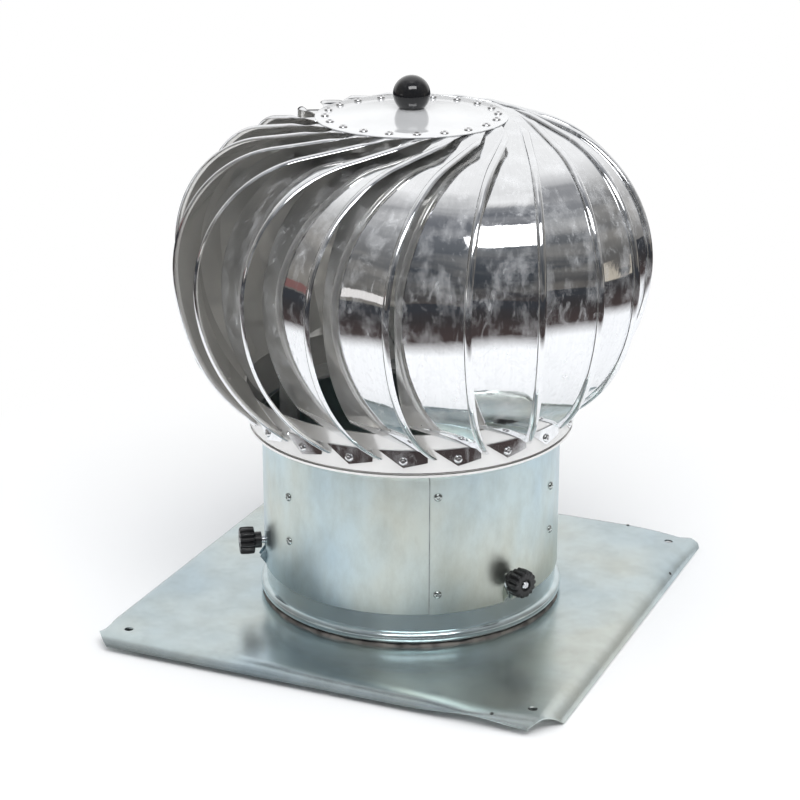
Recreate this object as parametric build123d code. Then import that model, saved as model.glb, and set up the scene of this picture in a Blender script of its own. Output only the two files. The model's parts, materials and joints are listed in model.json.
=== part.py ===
"""Rotating turbine cowl for a chimney or vent: a folded base plate with a beaded stub, a sleeve
clamped over it by three thumb screws, and a twenty-vane head that spins on a fixed axle.

Millimetres, +Z up. The origin is on the ground under the middle of the base plate, whose sides
run along X and Y.
"""
import math
import os

from build123d import *

# Base plate
PLATE_SIDE = 320.0
PLATE_SHEET = 1.0
FLANGE_DEPTH = 10.0
FLANGE_BEND = 5.0
CORNER_CLIP = 12.0
HOLE_INSET = 18.5
HOLE_DIAMETER = 6.0

# Stub under the sleeve, crimped into the plate
STUB_PLAY = 0.5
STUB_SHEET = 0.8
STUB_RISE = 50.0
STUB_LIP = 6.5
BEAD_RISE = 6.2
BEAD_RADIUS = 4.0
SEAL_WIDTH = 5.0
SEAL_HEIGHT = 1.6

# Sleeve that carries the head
SLEEVE_RADIUS = 100.0
SLEEVE_SHEET = 0.7
SLEEVE_LIFT = 22.5
SLEEVE_LENGTH = 103.5
LAP_ANGLE = -60.0
LAP_WIDTH = 10.0
SEAM_RIVET_RISES = (36.5, 104.0)
SLOT_WIDTH = 5.8
EAR_REACH = 4.0
EAR_HEIGHT = 12.0

# Thumb screws
SCREW_COUNT = 3
SCREW_START = -27.6
SCREW_RISE = 39.3
SCREW_DIAMETER = 5.0
SCREW_PLAY = 0.05
INSERT_COLLAR = 9.0
INSERT_COLLAR_SHEET = 1.5
INSERT_BODY = 7.0
INSERT_LENGTH = 9.0
KNOB_GAP = 2.6
KNOB_HUB_DIAMETER = 11.0
KNOB_HUB_LENGTH = 4.8
KNOB_DIAMETER = 19.0
KNOB_LENGTH = 10.0
KNOB_FLUTES = 14
FLUTE_RADIUS = 1.3

# Bracket that holds the axle: three bent arms on a hub plate
ARM_COUNT = 3
ARM_START = 0.0
ARM_WIDTH = 20.0
ARM_SHEET = 2.0
ARM_BEND = 6.0
ARM_FOOT_RISE = 51.0
ARM_TOP_RISE = 170.0
ARM_RIVET_RISES = (57.0, 88.0)
HUB_DIAMETER = 76.0
HUB_SHEET = 3.0
HUB_RIVET_RADII = (24.0, 33.0)

# Axle and its two ball bearings
AXLE_DIAMETER = 12.0
AXLE_SHOULDER = 18.0
AXLE_SHOULDER_HEIGHT = 8.0
AXLE_THREAD = 10.0
AXLE_NUT_ACROSS = 17.0
AXLE_NUT_HEIGHT = 8.0
WASHER_DIAMETER = 21.0
WASHER_SHEET = 2.0
BEARING_OUTER = 32.0
BEARING_WIDTH = 10.0
RACE_WALL = 3.0
CAGE_GAP = 0.35
BEARING_PITCH = 44.0
HOUSING_WALL = 3.5
HOUSING_TOP = 5.0
HOUSING_HEADROOM = 7.0
HOUSING_FLANGE_INSET = 6.1
HOUSING_FLANGE_SHEET = 2.0
HOUSING_SKIRT = 4.0
CLIP_SHEET = 1.2
CLIP_WIDTH = 2.4
FIT = 0.02

# Head: vanes, lower ring and top disc
VANE_COUNT = 20
VANE_START = 9.0
VANE_SHEET = 0.5
VANE_BULGE = 27.7
EQUATOR_RISE = 233.0
VANE_LOWER_RADIUS = 116.0
VANE_CROWN_SHARE = 0.904
VANE_TAB_REACH = 21.0
VANE_INNER = 24.0
VANE_FOLD = 66.5
LIP_WIDTH = 5.0
LIP_ANGLE = 26.0
VANE_LOWER_SWEEP = 68.0
TAPER_START = 78.0
TAPER_END_ACROSS = 50.0
TOP_SHARE = 17.0
TOP_RIVET_ANGLE = 71.5
TOP_RIVET_INSET = 6.5
FOOT_ANGLE = 29.5
FOOT_SPREAD = 8.0
FOOT_RIVET_RISE = 133.0
FOOT_DROP = 4.6
FOOT_NEAR_RISE = 6.5
FOOT_FAR_DROP = 1.5
SHEET_GAP = 0.1
RIVET_HEAD = 5.6
RIVET_HEIGHT = 1.5
RIVET_SHANK = 3.2

RING_SHEET = 0.8
RING_PLAY = 2.0
RING_LIP_WIDTH = 6.4
RING_BEAD_PROUD = 0.4
RING_FLARE = 2.3
RING_LIP_RISE = 116.4
RING_BEAD_RISE = 120.8
RING_BEAD_HEIGHT = 3.0
RING_TOP_RISE = 150.0

DISC_DIAMETER = 124.2
DISC_SHEET = 0.8
DISC_RISE = 327.0
DISC_RIM = 14.0
DISC_DOME = 4.6
DISC_SEAT = 18.0

# Ball knob
BALL_DIAMETER = 24.0
BALL_SEAT = 15.6
STUD_DIAMETER = 8.0
STUD_IN_BALL = 12.0

# Sizes that follow from the sleeve's, the plate's, the ring's and the disc's
HOLE_PITCH = PLATE_SIDE - 2 * HOLE_INSET
STUB_RADIUS = SLEEVE_RADIUS - SLEEVE_SHEET - STUB_PLAY
RING_LIP_RADIUS = SLEEVE_RADIUS + RING_PLAY
RING_BEAD_RADIUS = RING_LIP_RADIUS + RING_LIP_WIDTH
RING_NECK_RADIUS = RING_BEAD_RADIUS - RING_BEAD_PROUD
RING_TOP_RADIUS = RING_NECK_RADIUS + RING_FLARE
VANE_REACH = RING_TOP_RADIUS + VANE_BULGE
VANE_UPPER_RADIUS = VANE_CROWN_SHARE * (DISC_RISE - EQUATOR_RISE)
TOP_RIVET_CIRCLE = DISC_DIAMETER - 2 * TOP_RIVET_INSET
HOUSING_FLANGE = DISC_DIAMETER - 2 * (DISC_RIM + HOUSING_FLANGE_INSET)

# Heights above the ground
PLATE_TOP = FLANGE_DEPTH
SLEEVE_BOTTOM = PLATE_TOP + SLEEVE_LIFT
SLEEVE_TOP = SLEEVE_BOTTOM + SLEEVE_LENGTH
STUB_TOP = PLATE_TOP + STUB_RISE
SCREW_Z = PLATE_TOP + SCREW_RISE
ARM_TOP = PLATE_TOP + ARM_TOP_RISE
EQUATOR = PLATE_TOP + EQUATOR_RISE
DISC_UNDER = PLATE_TOP + DISC_RISE
DISC_TOP = DISC_UNDER + DISC_SHEET + DISC_DOME
HUB_UNDER = ARM_TOP - ARM_SHEET - HUB_SHEET

SLEEVE_BORE = SLEEVE_RADIUS - SLEEVE_SHEET
ARM_FACE = math.sqrt(SLEEVE_BORE ** 2 - (ARM_WIDTH / 2) ** 2) - SHEET_GAP
BEARING_BORE_RADIUS = AXLE_DIAMETER / 2 + FIT
HOUSING_RADIUS = BEARING_OUTER / 2 + HOUSING_WALL
DOME_LEAN = math.atan2(DISC_DOME, (DISC_DIAMETER - DISC_SEAT) / 2 - DISC_RIM)
SQUARE = math.sqrt(2)


def thickened(points, sheet):
    """Closed outline of a bent sheet: the points are one face, the other lies to their left."""
    other = []
    for index, (x, y) in enumerate(points):
        normals = []
        for start, end in ((index - 1, index), (index, index + 1)):
            if start >= 0 and end < len(points):
                dx = points[end][0] - points[start][0]
                dy = points[end][1] - points[start][1]
                length = math.hypot(dx, dy)
                normals.append((-dy / length, dx / length))
        nx = sum(n[0] for n in normals)
        ny = sum(n[1] for n in normals)
        reach = sheet / (nx * normals[0][0] + ny * normals[0][1])
        other.append((x + nx * reach, y + ny * reach))
    return list(points) + other[::-1]


def turned(outline):
    """Solid of revolution about Z from an outline of (radius, height) points."""
    face = make_face(Polyline(*outline, close=True))
    return revolve(Plane.XZ * face, Axis.Z)


def tube(outer, inner, bottom, top):
    """Plain ring between two radii and two heights."""
    ring = Pos(0, 0, (bottom + top) / 2) * Cylinder(outer, top - bottom)
    if inner > 0:
        ring -= Pos(0, 0, (bottom + top) / 2) * Cylinder(inner, top - bottom)
    return ring


def around(count, start):
    """Angles of a pattern round the axis."""
    return [start + index * 360.0 / count for index in range(count)]


def radial(angle, radius, height):
    """Frame on the circle of that radius: its Z axis points outwards, its X axis down."""
    return Rot(0, 0, angle) * Pos(radius, 0, height) * Rot(0, 90, 0)


def rivet(grip):
    """Blind rivet with a bevelled head up from z = 0 and its shank down through the grip."""
    head = RIVET_HEAD / 2
    shank = RIVET_SHANK / 2
    outline = [
        (0, -grip), (shank, -grip), (shank, 0), (head, 0), (head, RIVET_HEIGHT / 3),
        (shank, RIVET_HEIGHT), (0, RIVET_HEIGHT),
    ]
    return turned(outline)


def rivet_hole(grip):
    """Cutter for a rivet's shank."""
    return Cylinder(RIVET_SHANK / 2 + SHEET_GAP, 4 * grip)


def folded_edge():
    """One edge of the plate along Y: a bend and the flange that hangs from it."""
    half = PLATE_SIDE / 2
    bend_x = half - FLANGE_BEND
    bend_z = PLATE_TOP - FLANGE_BEND
    inner_bend = FLANGE_BEND - PLATE_SHEET
    outer_mid = (bend_x + FLANGE_BEND / SQUARE, bend_z + FLANGE_BEND / SQUARE)
    inner_mid = (bend_x + inner_bend / SQUARE, bend_z + inner_bend / SQUARE)
    outline = [
        ThreePointArc((bend_x, PLATE_TOP), outer_mid, (half, bend_z)),
        Line((half, bend_z), (half, 0)),
        Line((half, 0), (half - PLATE_SHEET, 0)),
        Line((half - PLATE_SHEET, 0), (half - PLATE_SHEET, bend_z)),
        ThreePointArc((half - PLATE_SHEET, bend_z), inner_mid, (bend_x, PLATE_TOP - PLATE_SHEET)),
        Line((bend_x, PLATE_TOP - PLATE_SHEET), (bend_x, PLATE_TOP)),
    ]
    return extrude(Plane.XZ * make_face(outline), half - CORNER_CLIP, both=True)


def base_plate():
    """Square sheet with its four edges folded down, clipped corners and a hole near each."""
    flat_side = PLATE_SIDE - 2 * FLANGE_BEND
    sheet = Pos(0, 0, PLATE_TOP - PLATE_SHEET / 2) * Box(flat_side, flat_side, PLATE_SHEET)
    edge = folded_edge()
    for side in range(4):
        sheet += Rot(0, 0, 90 * side) * edge
    clip_side = CORNER_CLIP * SQUARE
    corner = Rot(0, 0, 45) * Box(clip_side, clip_side, 4 * FLANGE_DEPTH)
    hole = Cylinder(HOLE_DIAMETER / 2, 4 * FLANGE_DEPTH)
    for x, y in ((1, 1), (1, -1), (-1, 1), (-1, -1)):
        sheet -= Pos(x * PLATE_SIDE / 2, y * PLATE_SIDE / 2, PLATE_TOP) * corner
        sheet -= Pos(x * HOLE_PITCH / 2, y * HOLE_PITCH / 2, PLATE_TOP) * hole
    sheet -= Pos(0, 0, PLATE_TOP) * Cylinder(STUB_RADIUS + SHEET_GAP, 4 * FLANGE_DEPTH)
    return sheet


def base_stub():
    """Rolled collar with a bead above the plate and its lower edge turned out below it."""
    plate_under = PLATE_TOP - PLATE_SHEET
    bead_low = PLATE_TOP + BEAD_RISE - BEAD_RADIUS
    bead_high = PLATE_TOP + BEAD_RISE + BEAD_RADIUS
    bead_mid = PLATE_TOP + BEAD_RISE
    inner = STUB_RADIUS - STUB_SHEET
    lip_top = plate_under - SHEET_GAP
    lip_low = lip_top - STUB_SHEET
    wall = [
        Line((inner, lip_low), (STUB_RADIUS + STUB_LIP, lip_low)),
        Line((STUB_RADIUS + STUB_LIP, lip_low), (STUB_RADIUS + STUB_LIP, lip_top)),
        Line((STUB_RADIUS + STUB_LIP, lip_top), (STUB_RADIUS, lip_top)),
        Line((STUB_RADIUS, lip_top), (STUB_RADIUS, bead_low)),
        ThreePointArc((STUB_RADIUS, bead_low), (STUB_RADIUS + BEAD_RADIUS, bead_mid),
                      (STUB_RADIUS, bead_high)),
        Line((STUB_RADIUS, bead_high), (STUB_RADIUS, STUB_TOP)),
        Line((STUB_RADIUS, STUB_TOP), (inner, STUB_TOP)),
        Line((inner, STUB_TOP), (inner, bead_high)),
        ThreePointArc((inner, bead_high), (inner + BEAD_RADIUS, bead_mid), (inner, bead_low)),
        Line((inner, bead_low), (inner, lip_low)),
    ]
    stub = revolve(Plane.XZ * make_face(wall), Axis.Z)
    hole = Cylinder(INSERT_BODY / 2 + SHEET_GAP, 6 * STUB_SHEET)
    for angle in around(SCREW_COUNT, SCREW_START):
        stub -= radial(angle, STUB_RADIUS, SCREW_Z) * hole
    return stub


def stub_seal():
    """Bead of sealant in the corner between stub and plate, under the rolled bead."""
    inner = STUB_RADIUS + SHEET_GAP
    outline = [
        (inner, PLATE_TOP), (inner + SEAL_WIDTH, PLATE_TOP),
        (inner + SEAL_WIDTH * 0.55, PLATE_TOP + SEAL_HEIGHT * 0.7),
        (inner, PLATE_TOP + SEAL_HEIGHT),
    ]
    return turned(outline)


def screw_insert():
    """Rivet nut in the stub wall for a thumb screw, its collar on the inside; Z runs outwards."""
    wall_inside = math.sqrt((STUB_RADIUS - STUB_SHEET) ** 2 - (INSERT_COLLAR / 2) ** 2) - SHEET_GAP
    collar_middle = wall_inside - STUB_RADIUS - INSERT_COLLAR_SHEET / 2
    nut = Pos(0, 0, -INSERT_LENGTH / 2) * Cylinder(INSERT_BODY / 2, INSERT_LENGTH)
    nut += Pos(0, 0, collar_middle) * Cylinder(INSERT_COLLAR / 2, INSERT_COLLAR_SHEET)
    return nut - Cylinder(SCREW_DIAMETER / 2 + SCREW_PLAY, 4 * INSERT_LENGTH)


def sleeve():
    """Rolled tube with a riveted lap and three open slots whose edges are bent out as ears."""
    tube_wall = tube(SLEEVE_RADIUS, SLEEVE_BORE, SLEEVE_BOTTOM, SLEEVE_TOP)
    lap = tube(SLEEVE_RADIUS + SLEEVE_SHEET, SLEEVE_RADIUS - SLEEVE_SHEET / 2,
               SLEEVE_BOTTOM, SLEEVE_TOP)
    lap_middle = LAP_ANGLE + math.degrees(LAP_WIDTH / 2 / SLEEVE_RADIUS)
    keep = Pos(SLEEVE_RADIUS, 0, (SLEEVE_BOTTOM + SLEEVE_TOP) / 2)
    keep *= Box(SLEEVE_RADIUS / 4, LAP_WIDTH, 2 * SLEEVE_LENGTH)
    tube_wall += lap & (Rot(0, 0, lap_middle) * keep)
    slot_height = SCREW_Z - SLEEVE_BOTTOM
    slot = Pos(slot_height, 0, 0) * Box(2 * slot_height, SLOT_WIDTH, 8 * SLEEVE_SHEET)
    slot += Cylinder(SLOT_WIDTH / 2, 8 * SLEEVE_SHEET)
    ear_root = SLEEVE_SHEET / 2
    ear_outline = [(0, -ear_root), (-EAR_HEIGHT / 2, EAR_REACH), (-EAR_HEIGHT, -ear_root)]
    ear = extrude(Plane.XZ * make_face(Polyline(*ear_outline, close=True)), SLEEVE_SHEET)
    for angle in around(SCREW_COUNT, SCREW_START):
        tube_wall -= radial(angle, SLEEVE_RADIUS, SCREW_Z) * slot
        for offset in (SLOT_WIDTH / 2 + SLEEVE_SHEET, -SLOT_WIDTH / 2):
            tube_wall += radial(angle, SLEEVE_RADIUS, SLEEVE_BOTTOM) * Pos(0, offset, 0) * ear
    for angle in around(ARM_COUNT, ARM_START):
        for rise in ARM_RIVET_RISES:
            hole = rivet_hole(SLEEVE_SHEET)
            tube_wall -= radial(angle, SLEEVE_RADIUS, PLATE_TOP + rise) * hole
    for rise in SEAM_RIVET_RISES:
        hole = rivet_hole(2 * SLEEVE_SHEET)
        tube_wall -= radial(lap_middle, SLEEVE_RADIUS, PLATE_TOP + rise) * hole
    return tube_wall


def seam_rivets():
    """Rivets through the sleeve's lap."""
    lap_middle = LAP_ANGLE + math.degrees(LAP_WIDTH / 2 / SLEEVE_RADIUS)
    face = SLEEVE_RADIUS + SLEEVE_SHEET + SHEET_GAP
    grip = 2 * SLEEVE_SHEET + SHEET_GAP
    places = [radial(lap_middle, face, PLATE_TOP + rise) for rise in SEAM_RIVET_RISES]
    return Compound(children=[place * rivet(grip) for place in places])


def arm_rivets():
    """Rivets that hold the bracket arms inside the sleeve."""
    face = SLEEVE_RADIUS + SHEET_GAP
    grip = face - ARM_FACE + ARM_SHEET
    pieces = []
    for angle in around(ARM_COUNT, ARM_START):
        for rise in ARM_RIVET_RISES:
            pieces.append(radial(angle, face, PLATE_TOP + rise) * rivet(grip))
    return Compound(children=pieces)


def bracket_arm():
    """Flat bar bent once: it rises inside the sleeve and turns in over the hub plate."""
    hub_hole_edge = HUB_RIVET_RADII[0] - RIVET_HEAD
    foot = PLATE_TOP + ARM_FOOT_RISE
    bend = ARM_BEND
    inner_bend = bend - ARM_SHEET
    top = ARM_TOP
    face = ARM_FACE
    back = face - ARM_SHEET
    corner = (face - bend + bend / SQUARE, top - bend + bend / SQUARE)
    inner_corner = (face - bend + inner_bend / SQUARE, top - bend + inner_bend / SQUARE)
    outline = [
        Line((face, foot), (face, top - bend)),
        ThreePointArc((face, top - bend), corner, (face - bend, top)),
        Line((face - bend, top), (hub_hole_edge, top)),
        Line((hub_hole_edge, top), (hub_hole_edge, top - ARM_SHEET)),
        Line((hub_hole_edge, top - ARM_SHEET), (face - bend, top - ARM_SHEET)),
        ThreePointArc((face - bend, top - ARM_SHEET), inner_corner, (back, top - bend)),
        Line((back, top - bend), (back, foot)),
        Line((back, foot), (face, foot)),
    ]
    arm = extrude(Plane.XZ * make_face(outline), ARM_WIDTH / 2, both=True)
    for rise in ARM_RIVET_RISES:
        arm -= radial(0, face, PLATE_TOP + rise) * rivet_hole(ARM_SHEET)
    for radius in HUB_RIVET_RADII:
        arm -= Pos(radius, 0, top) * rivet_hole(ARM_SHEET)
    return arm


def hub_plate():
    """Round plate under the three arms, bored for the axle."""
    plate = tube(HUB_DIAMETER / 2, AXLE_THREAD / 2 + FIT, HUB_UNDER, HUB_UNDER + HUB_SHEET)
    for angle in around(ARM_COUNT, ARM_START):
        for radius in HUB_RIVET_RADII:
            hole = Pos(radius, 0, HUB_UNDER) * rivet_hole(HUB_SHEET)
            plate -= Rot(0, 0, angle) * hole
    return plate


def hub_rivets():
    """Rivets between the arms and the hub plate."""
    pieces = []
    grip = ARM_SHEET + HUB_SHEET
    for angle in around(ARM_COUNT, ARM_START):
        for radius in HUB_RIVET_RADII:
            pieces.append(Rot(0, 0, angle) * Pos(radius, 0, ARM_TOP) * rivet(grip))
    return Compound(children=pieces)


def lower_bearing_bottom():
    """Height of the lower bearing's lower face."""
    return upper_bearing_bottom() - BEARING_PITCH


def upper_bearing_bottom():
    """Height of the upper bearing's lower face, under the housing's closed top."""
    return DISC_TOP - DISC_SHEET - HOUSING_TOP - HOUSING_HEADROOM - BEARING_WIDTH


def axle():
    """Turned axle: threaded foot through the hub plate, a shoulder on it, a journal above."""
    hub_top = HUB_UNDER + HUB_SHEET
    journal = AXLE_DIAMETER / 2
    thread = AXLE_THREAD / 2
    foot = HUB_UNDER - WASHER_SHEET - AXLE_NUT_HEIGHT - AXLE_THREAD * 0.3
    tip = upper_bearing_bottom() + BEARING_WIDTH + CLIP_SHEET + CLIP_SHEET
    groove = tip - 2 * CLIP_SHEET
    step = lower_bearing_bottom()
    neck = journal - CLIP_WIDTH / 3
    outline = [
        (0, foot), (thread, foot), (thread, hub_top), (AXLE_SHOULDER / 2, hub_top),
        (AXLE_SHOULDER / 2, hub_top + AXLE_SHOULDER_HEIGHT),
        (journal + RACE_WALL / 2, hub_top + AXLE_SHOULDER_HEIGHT),
        (journal + RACE_WALL / 2, step), (journal, step), (journal, groove), (neck, groove),
        (neck, groove + CLIP_SHEET), (journal, groove + CLIP_SHEET), (journal, tip), (0, tip),
    ]
    return turned(outline)


def axle_nut():
    """Hexagon nut under the hub plate."""
    top = HUB_UNDER - WASHER_SHEET
    nut = extrude(RegularPolygon(AXLE_NUT_ACROSS / 2, 6, major_radius=False), AXLE_NUT_HEIGHT)
    nut = Pos(0, 0, top - AXLE_NUT_HEIGHT) * nut
    bore = Cylinder(AXLE_THREAD / 2 + FIT, 4 * AXLE_NUT_HEIGHT)
    return nut - Pos(0, 0, top) * bore


def axle_washer():
    """Plain washer between nut and hub plate."""
    return tube(WASHER_DIAMETER / 2, AXLE_THREAD / 2 + FIT, HUB_UNDER - WASHER_SHEET, HUB_UNDER)


def bearing(bottom):
    """Outer race, inner race and the ring of balls in their cage between them."""
    top = bottom + BEARING_WIDTH
    inner_race_out = BEARING_BORE_RADIUS + RACE_WALL
    outer_race_in = BEARING_OUTER / 2 - RACE_WALL
    outer = tube(BEARING_OUTER / 2, outer_race_in, bottom, top)
    inner = tube(inner_race_out, BEARING_BORE_RADIUS, bottom, top)
    margin = BEARING_WIDTH / 5
    cage = tube(outer_race_in - CAGE_GAP, inner_race_out + CAGE_GAP, bottom + margin, top - margin)
    return outer, inner, cage


def bearing_spacer():
    """Tube that keeps the two inner races apart on the axle."""
    bottom = lower_bearing_bottom() + BEARING_WIDTH
    return tube(BEARING_BORE_RADIUS + RACE_WALL * 0.8, BEARING_BORE_RADIUS, bottom,
                upper_bearing_bottom())


def bearing_housing():
    """Cup round both bearings, closed above, with a wide flange under the top disc."""
    bore = BEARING_OUTER / 2 + FIT
    step_bore = BEARING_OUTER / 2 - RACE_WALL / 2
    top = DISC_TOP - DISC_SHEET - SHEET_GAP
    upper = upper_bearing_bottom()
    lower = lower_bearing_bottom()
    skirt = lower - CLIP_SHEET - HOUSING_SKIRT
    roof = top - HOUSING_TOP
    groove_bore = bore + CLIP_WIDTH / 3
    seat = DISC_SEAT / 2 - DISC_SHEET * math.tan(DOME_LEAN / 2)
    tap = STUD_DIAMETER / 2 + FIT
    flange = HOUSING_FLANGE / 2
    flange_top = top - (flange - seat) * math.tan(DOME_LEAN)
    outline = [
        (tap, top), (seat, top), (flange, flange_top), (flange, flange_top - HOUSING_FLANGE_SHEET),
        (HOUSING_RADIUS, roof), (HOUSING_RADIUS, skirt), (bore, skirt),
        (bore, lower - CLIP_SHEET), (groove_bore, lower - CLIP_SHEET), (groove_bore, lower),
        (bore, lower), (bore, lower + BEARING_WIDTH), (step_bore, lower + BEARING_WIDTH),
        (step_bore, upper), (bore, upper), (bore, roof), (tap, roof),
    ]
    return turned(outline)


def split_ring(inner, outer, bottom, gap):
    """Retaining ring with a gap on its +X side."""
    ring = tube(outer, inner, bottom, bottom + CLIP_SHEET)
    return ring - Pos(outer, 0, bottom) * Box(2 * (outer - inner) + gap, gap, 4 * CLIP_SHEET)


def axle_clip():
    """Retaining ring in the axle's groove, above the upper inner race."""
    inner = AXLE_DIAMETER / 2 - CLIP_WIDTH / 3 + FIT
    return split_ring(inner, inner + CLIP_WIDTH, upper_bearing_bottom() + BEARING_WIDTH, CLIP_WIDTH)


def housing_clip():
    """Retaining ring in the housing's groove, under the lower outer race."""
    outer = BEARING_OUTER / 2 + CLIP_WIDTH / 3
    return split_ring(outer - CLIP_WIDTH, outer, lower_bearing_bottom() - CLIP_SHEET, CLIP_WIDTH)


def ring_radius(rise):
    """Outer radius of the lower ring's flared band at a height above the plate."""
    neck_rise = RING_BEAD_RISE + RING_BEAD_HEIGHT
    slope = (RING_TOP_RADIUS - RING_NECK_RADIUS) / (RING_TOP_RISE - neck_rise)
    return RING_NECK_RADIUS + (rise - neck_rise) * slope


def ring_flare():
    """Lean of the flared band from the vertical, in degrees."""
    neck_rise = RING_BEAD_RISE + RING_BEAD_HEIGHT
    return math.degrees(math.atan2(RING_TOP_RADIUS - RING_NECK_RADIUS, RING_TOP_RISE - neck_rise))


def foot_frame(angle, lift):
    """Frame of a foot rivet on the flared band, its Z axis square to the band."""
    radius = ring_radius(FOOT_RIVET_RISE)
    place = Rot(0, 0, angle) * Pos(radius, 0, PLATE_TOP + FOOT_RIVET_RISE)
    return place * Rot(0, 90 + ring_flare(), 0) * Pos(0, 0, lift)


def lower_ring():
    """Spun ring under the vanes: inward lip, narrow upright bead and a flared band."""
    neck = RING_BEAD_RISE + RING_BEAD_HEIGHT
    face = [
        (RING_LIP_RADIUS, PLATE_TOP + RING_LIP_RISE),
        (RING_BEAD_RADIUS, PLATE_TOP + RING_BEAD_RISE),
        (RING_BEAD_RADIUS, PLATE_TOP + neck - RING_SHEET),
        (RING_NECK_RADIUS, PLATE_TOP + neck),
        (RING_TOP_RADIUS, PLATE_TOP + RING_TOP_RISE),
    ]
    ring = turned(thickened(face, RING_SHEET))
    for angle in around(VANE_COUNT, VANE_START + FOOT_ANGLE):
        ring -= foot_frame(angle, 0) * rivet_hole(RING_SHEET)
    return ring


def top_disc():
    """Pressed disc over the vane tops: flat rim with the rivet holes, shallow dome inside it."""
    rim = DISC_DIAMETER / 2
    face = [
        (STUD_DIAMETER / 2 + SHEET_GAP, DISC_TOP), (DISC_SEAT / 2, DISC_TOP),
        (rim - DISC_RIM, DISC_UNDER + DISC_SHEET), (rim, DISC_UNDER + DISC_SHEET),
    ]
    disc = turned(thickened(face[::-1], DISC_SHEET))
    for angle in around(VANE_COUNT, VANE_START + TOP_RIVET_ANGLE):
        hole = Pos(TOP_RIVET_CIRCLE / 2, 0, DISC_UNDER) * rivet_hole(DISC_SHEET)
        disc -= Rot(0, 0, angle) * hole
    return disc


def vane_section():
    """Cross-section of a vane at the equator: flat width, then the lip bent outwards."""
    lean = math.radians(LIP_ANGLE)
    outside = VANE_REACH + VANE_SHEET / 2
    face = [
        (outside + LIP_WIDTH * math.sin(lean), VANE_FOLD + LIP_WIDTH * math.cos(lean)),
        (outside, VANE_FOLD),
        (outside, VANE_INNER),
    ]
    section = make_face(Polyline(*thickened(face[::-1], VANE_SHEET), close=True))
    return Pos(0, 0, EQUATOR) * section


def swung(section, centre, height, degrees):
    """Section carried round an axis along Y, upwards when the angle is positive."""
    axis = Axis((centre, 0, height), (0, -1 if degrees > 0 else 1, 0))
    solid = revolve(section, axis, abs(degrees))
    return solid, section.rotate(axis, abs(degrees))


def vane_body():
    """Bent strip of a vane: an arc down into the ring, an arc up, a straight ramp and a flat tab."""
    section = vane_section()
    lower, _ = swung(section, VANE_REACH - VANE_LOWER_RADIUS, EQUATOR, -VANE_LOWER_SWEEP)
    upper_centre = VANE_REACH - VANE_UPPER_RADIUS
    tab_height = DISC_UNDER - SHEET_GAP - VANE_SHEET / 2
    rise = tab_height - EQUATOR
    run = VANE_TAB_REACH - upper_centre
    span = math.hypot(rise, run)
    arc_end = math.atan2(rise, run) - math.acos(VANE_UPPER_RADIUS / span)
    upper, section = swung(section, upper_centre, EQUATOR, math.degrees(arc_end))
    length = math.sqrt(span ** 2 - VANE_UPPER_RADIUS ** 2)
    ramp = extrude(section, length, dir=(-math.sin(arc_end), 0, math.cos(arc_end)))
    tab = Pos(VANE_TAB_REACH / 2, (VANE_INNER + VANE_FOLD) / 2, tab_height)
    tab *= Box(VANE_TAB_REACH, VANE_FOLD - VANE_INNER, VANE_SHEET)
    return lower + upper + ramp + tab


def vane_top_trim():
    """Cutter that narrows a vane's top to its share of the disc's rim."""
    rim = DISC_DIAMETER / 2
    low = EQUATOR + VANE_UPPER_RADIUS / 3
    height = 2 * VANE_UPPER_RADIUS
    first = math.radians(TOP_RIVET_ANGLE - TOP_SHARE / 2)
    last = math.radians(TOP_RIVET_ANGLE + TOP_SHARE / 2)
    inside = TOP_RIVET_CIRCLE / 2 - RIVET_HEAD
    near = [
        (TAPER_START, VANE_INNER - LIP_WIDTH), (TAPER_START, VANE_INNER),
        (VANE_TAB_REACH + RIVET_HEAD, TAPER_END_ACROSS),
        (rim * math.cos(first), rim * math.sin(first)),
        (inside * math.cos(first), inside * math.sin(first)),
        (inside * math.cos(last), inside * math.sin(last)),
        (-LIP_WIDTH, inside * math.sin(last)), (-LIP_WIDTH, VANE_INNER - LIP_WIDTH),
    ]
    far_reach = VANE_FOLD + 2 * LIP_WIDTH
    far = [
        (inside * math.cos(last), inside * math.sin(last)),
        (rim * math.cos(last), rim * math.sin(last)),
        (2 * VANE_TAB_REACH, far_reach - LIP_WIDTH / 2), (2 * VANE_TAB_REACH, far_reach),
        (-LIP_WIDTH, far_reach), (-LIP_WIDTH, inside * math.sin(last)),
    ]
    cutter = Part()
    for outline in (near, far):
        face = make_face(Polyline(*outline, close=True))
        cutter += Pos(0, 0, low) * extrude(face, height)
    return cutter


def vane_foot():
    """Riveted foot: a patch on the flared band, cut to a point under its rivet."""
    low = FOOT_RIVET_RISE - FOOT_DROP
    high = RING_TOP_RISE
    outline = []
    for rise, lift in ((low, 0), (high, 0), (high, VANE_SHEET), (low, VANE_SHEET)):
        outline.append((ring_radius(rise) + SHEET_GAP + lift, PLATE_TOP + rise))
    patch = revolve(Plane.XZ * make_face(Polyline(*outline, close=True)), Axis.Z, 2 * FOOT_SPREAD)
    patch = Rot(0, 0, FOOT_ANGLE - FOOT_SPREAD) * patch
    half_width = math.radians(FOOT_SPREAD) * ring_radius(FOOT_RIVET_RISE)
    size = 4 * half_width
    point = Rot(0, 0, FOOT_ANGLE) * Pos(ring_radius(low), 0, PLATE_TOP + low)
    for side, corner_rise in ((-1, FOOT_NEAR_RISE), (1, -FOOT_FAR_DROP)):
        lean = math.degrees(math.atan2(corner_rise + FOOT_DROP, half_width))
        below = point * Rot(side * lean, 0, 0) * Pos(0, 0, -size / 2) * Box(size, 2 * size, size)
        beside = point * Pos(0, side * size / 2, 0) * Box(size, size, 4 * size)
        patch -= below & beside
    return patch


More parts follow.
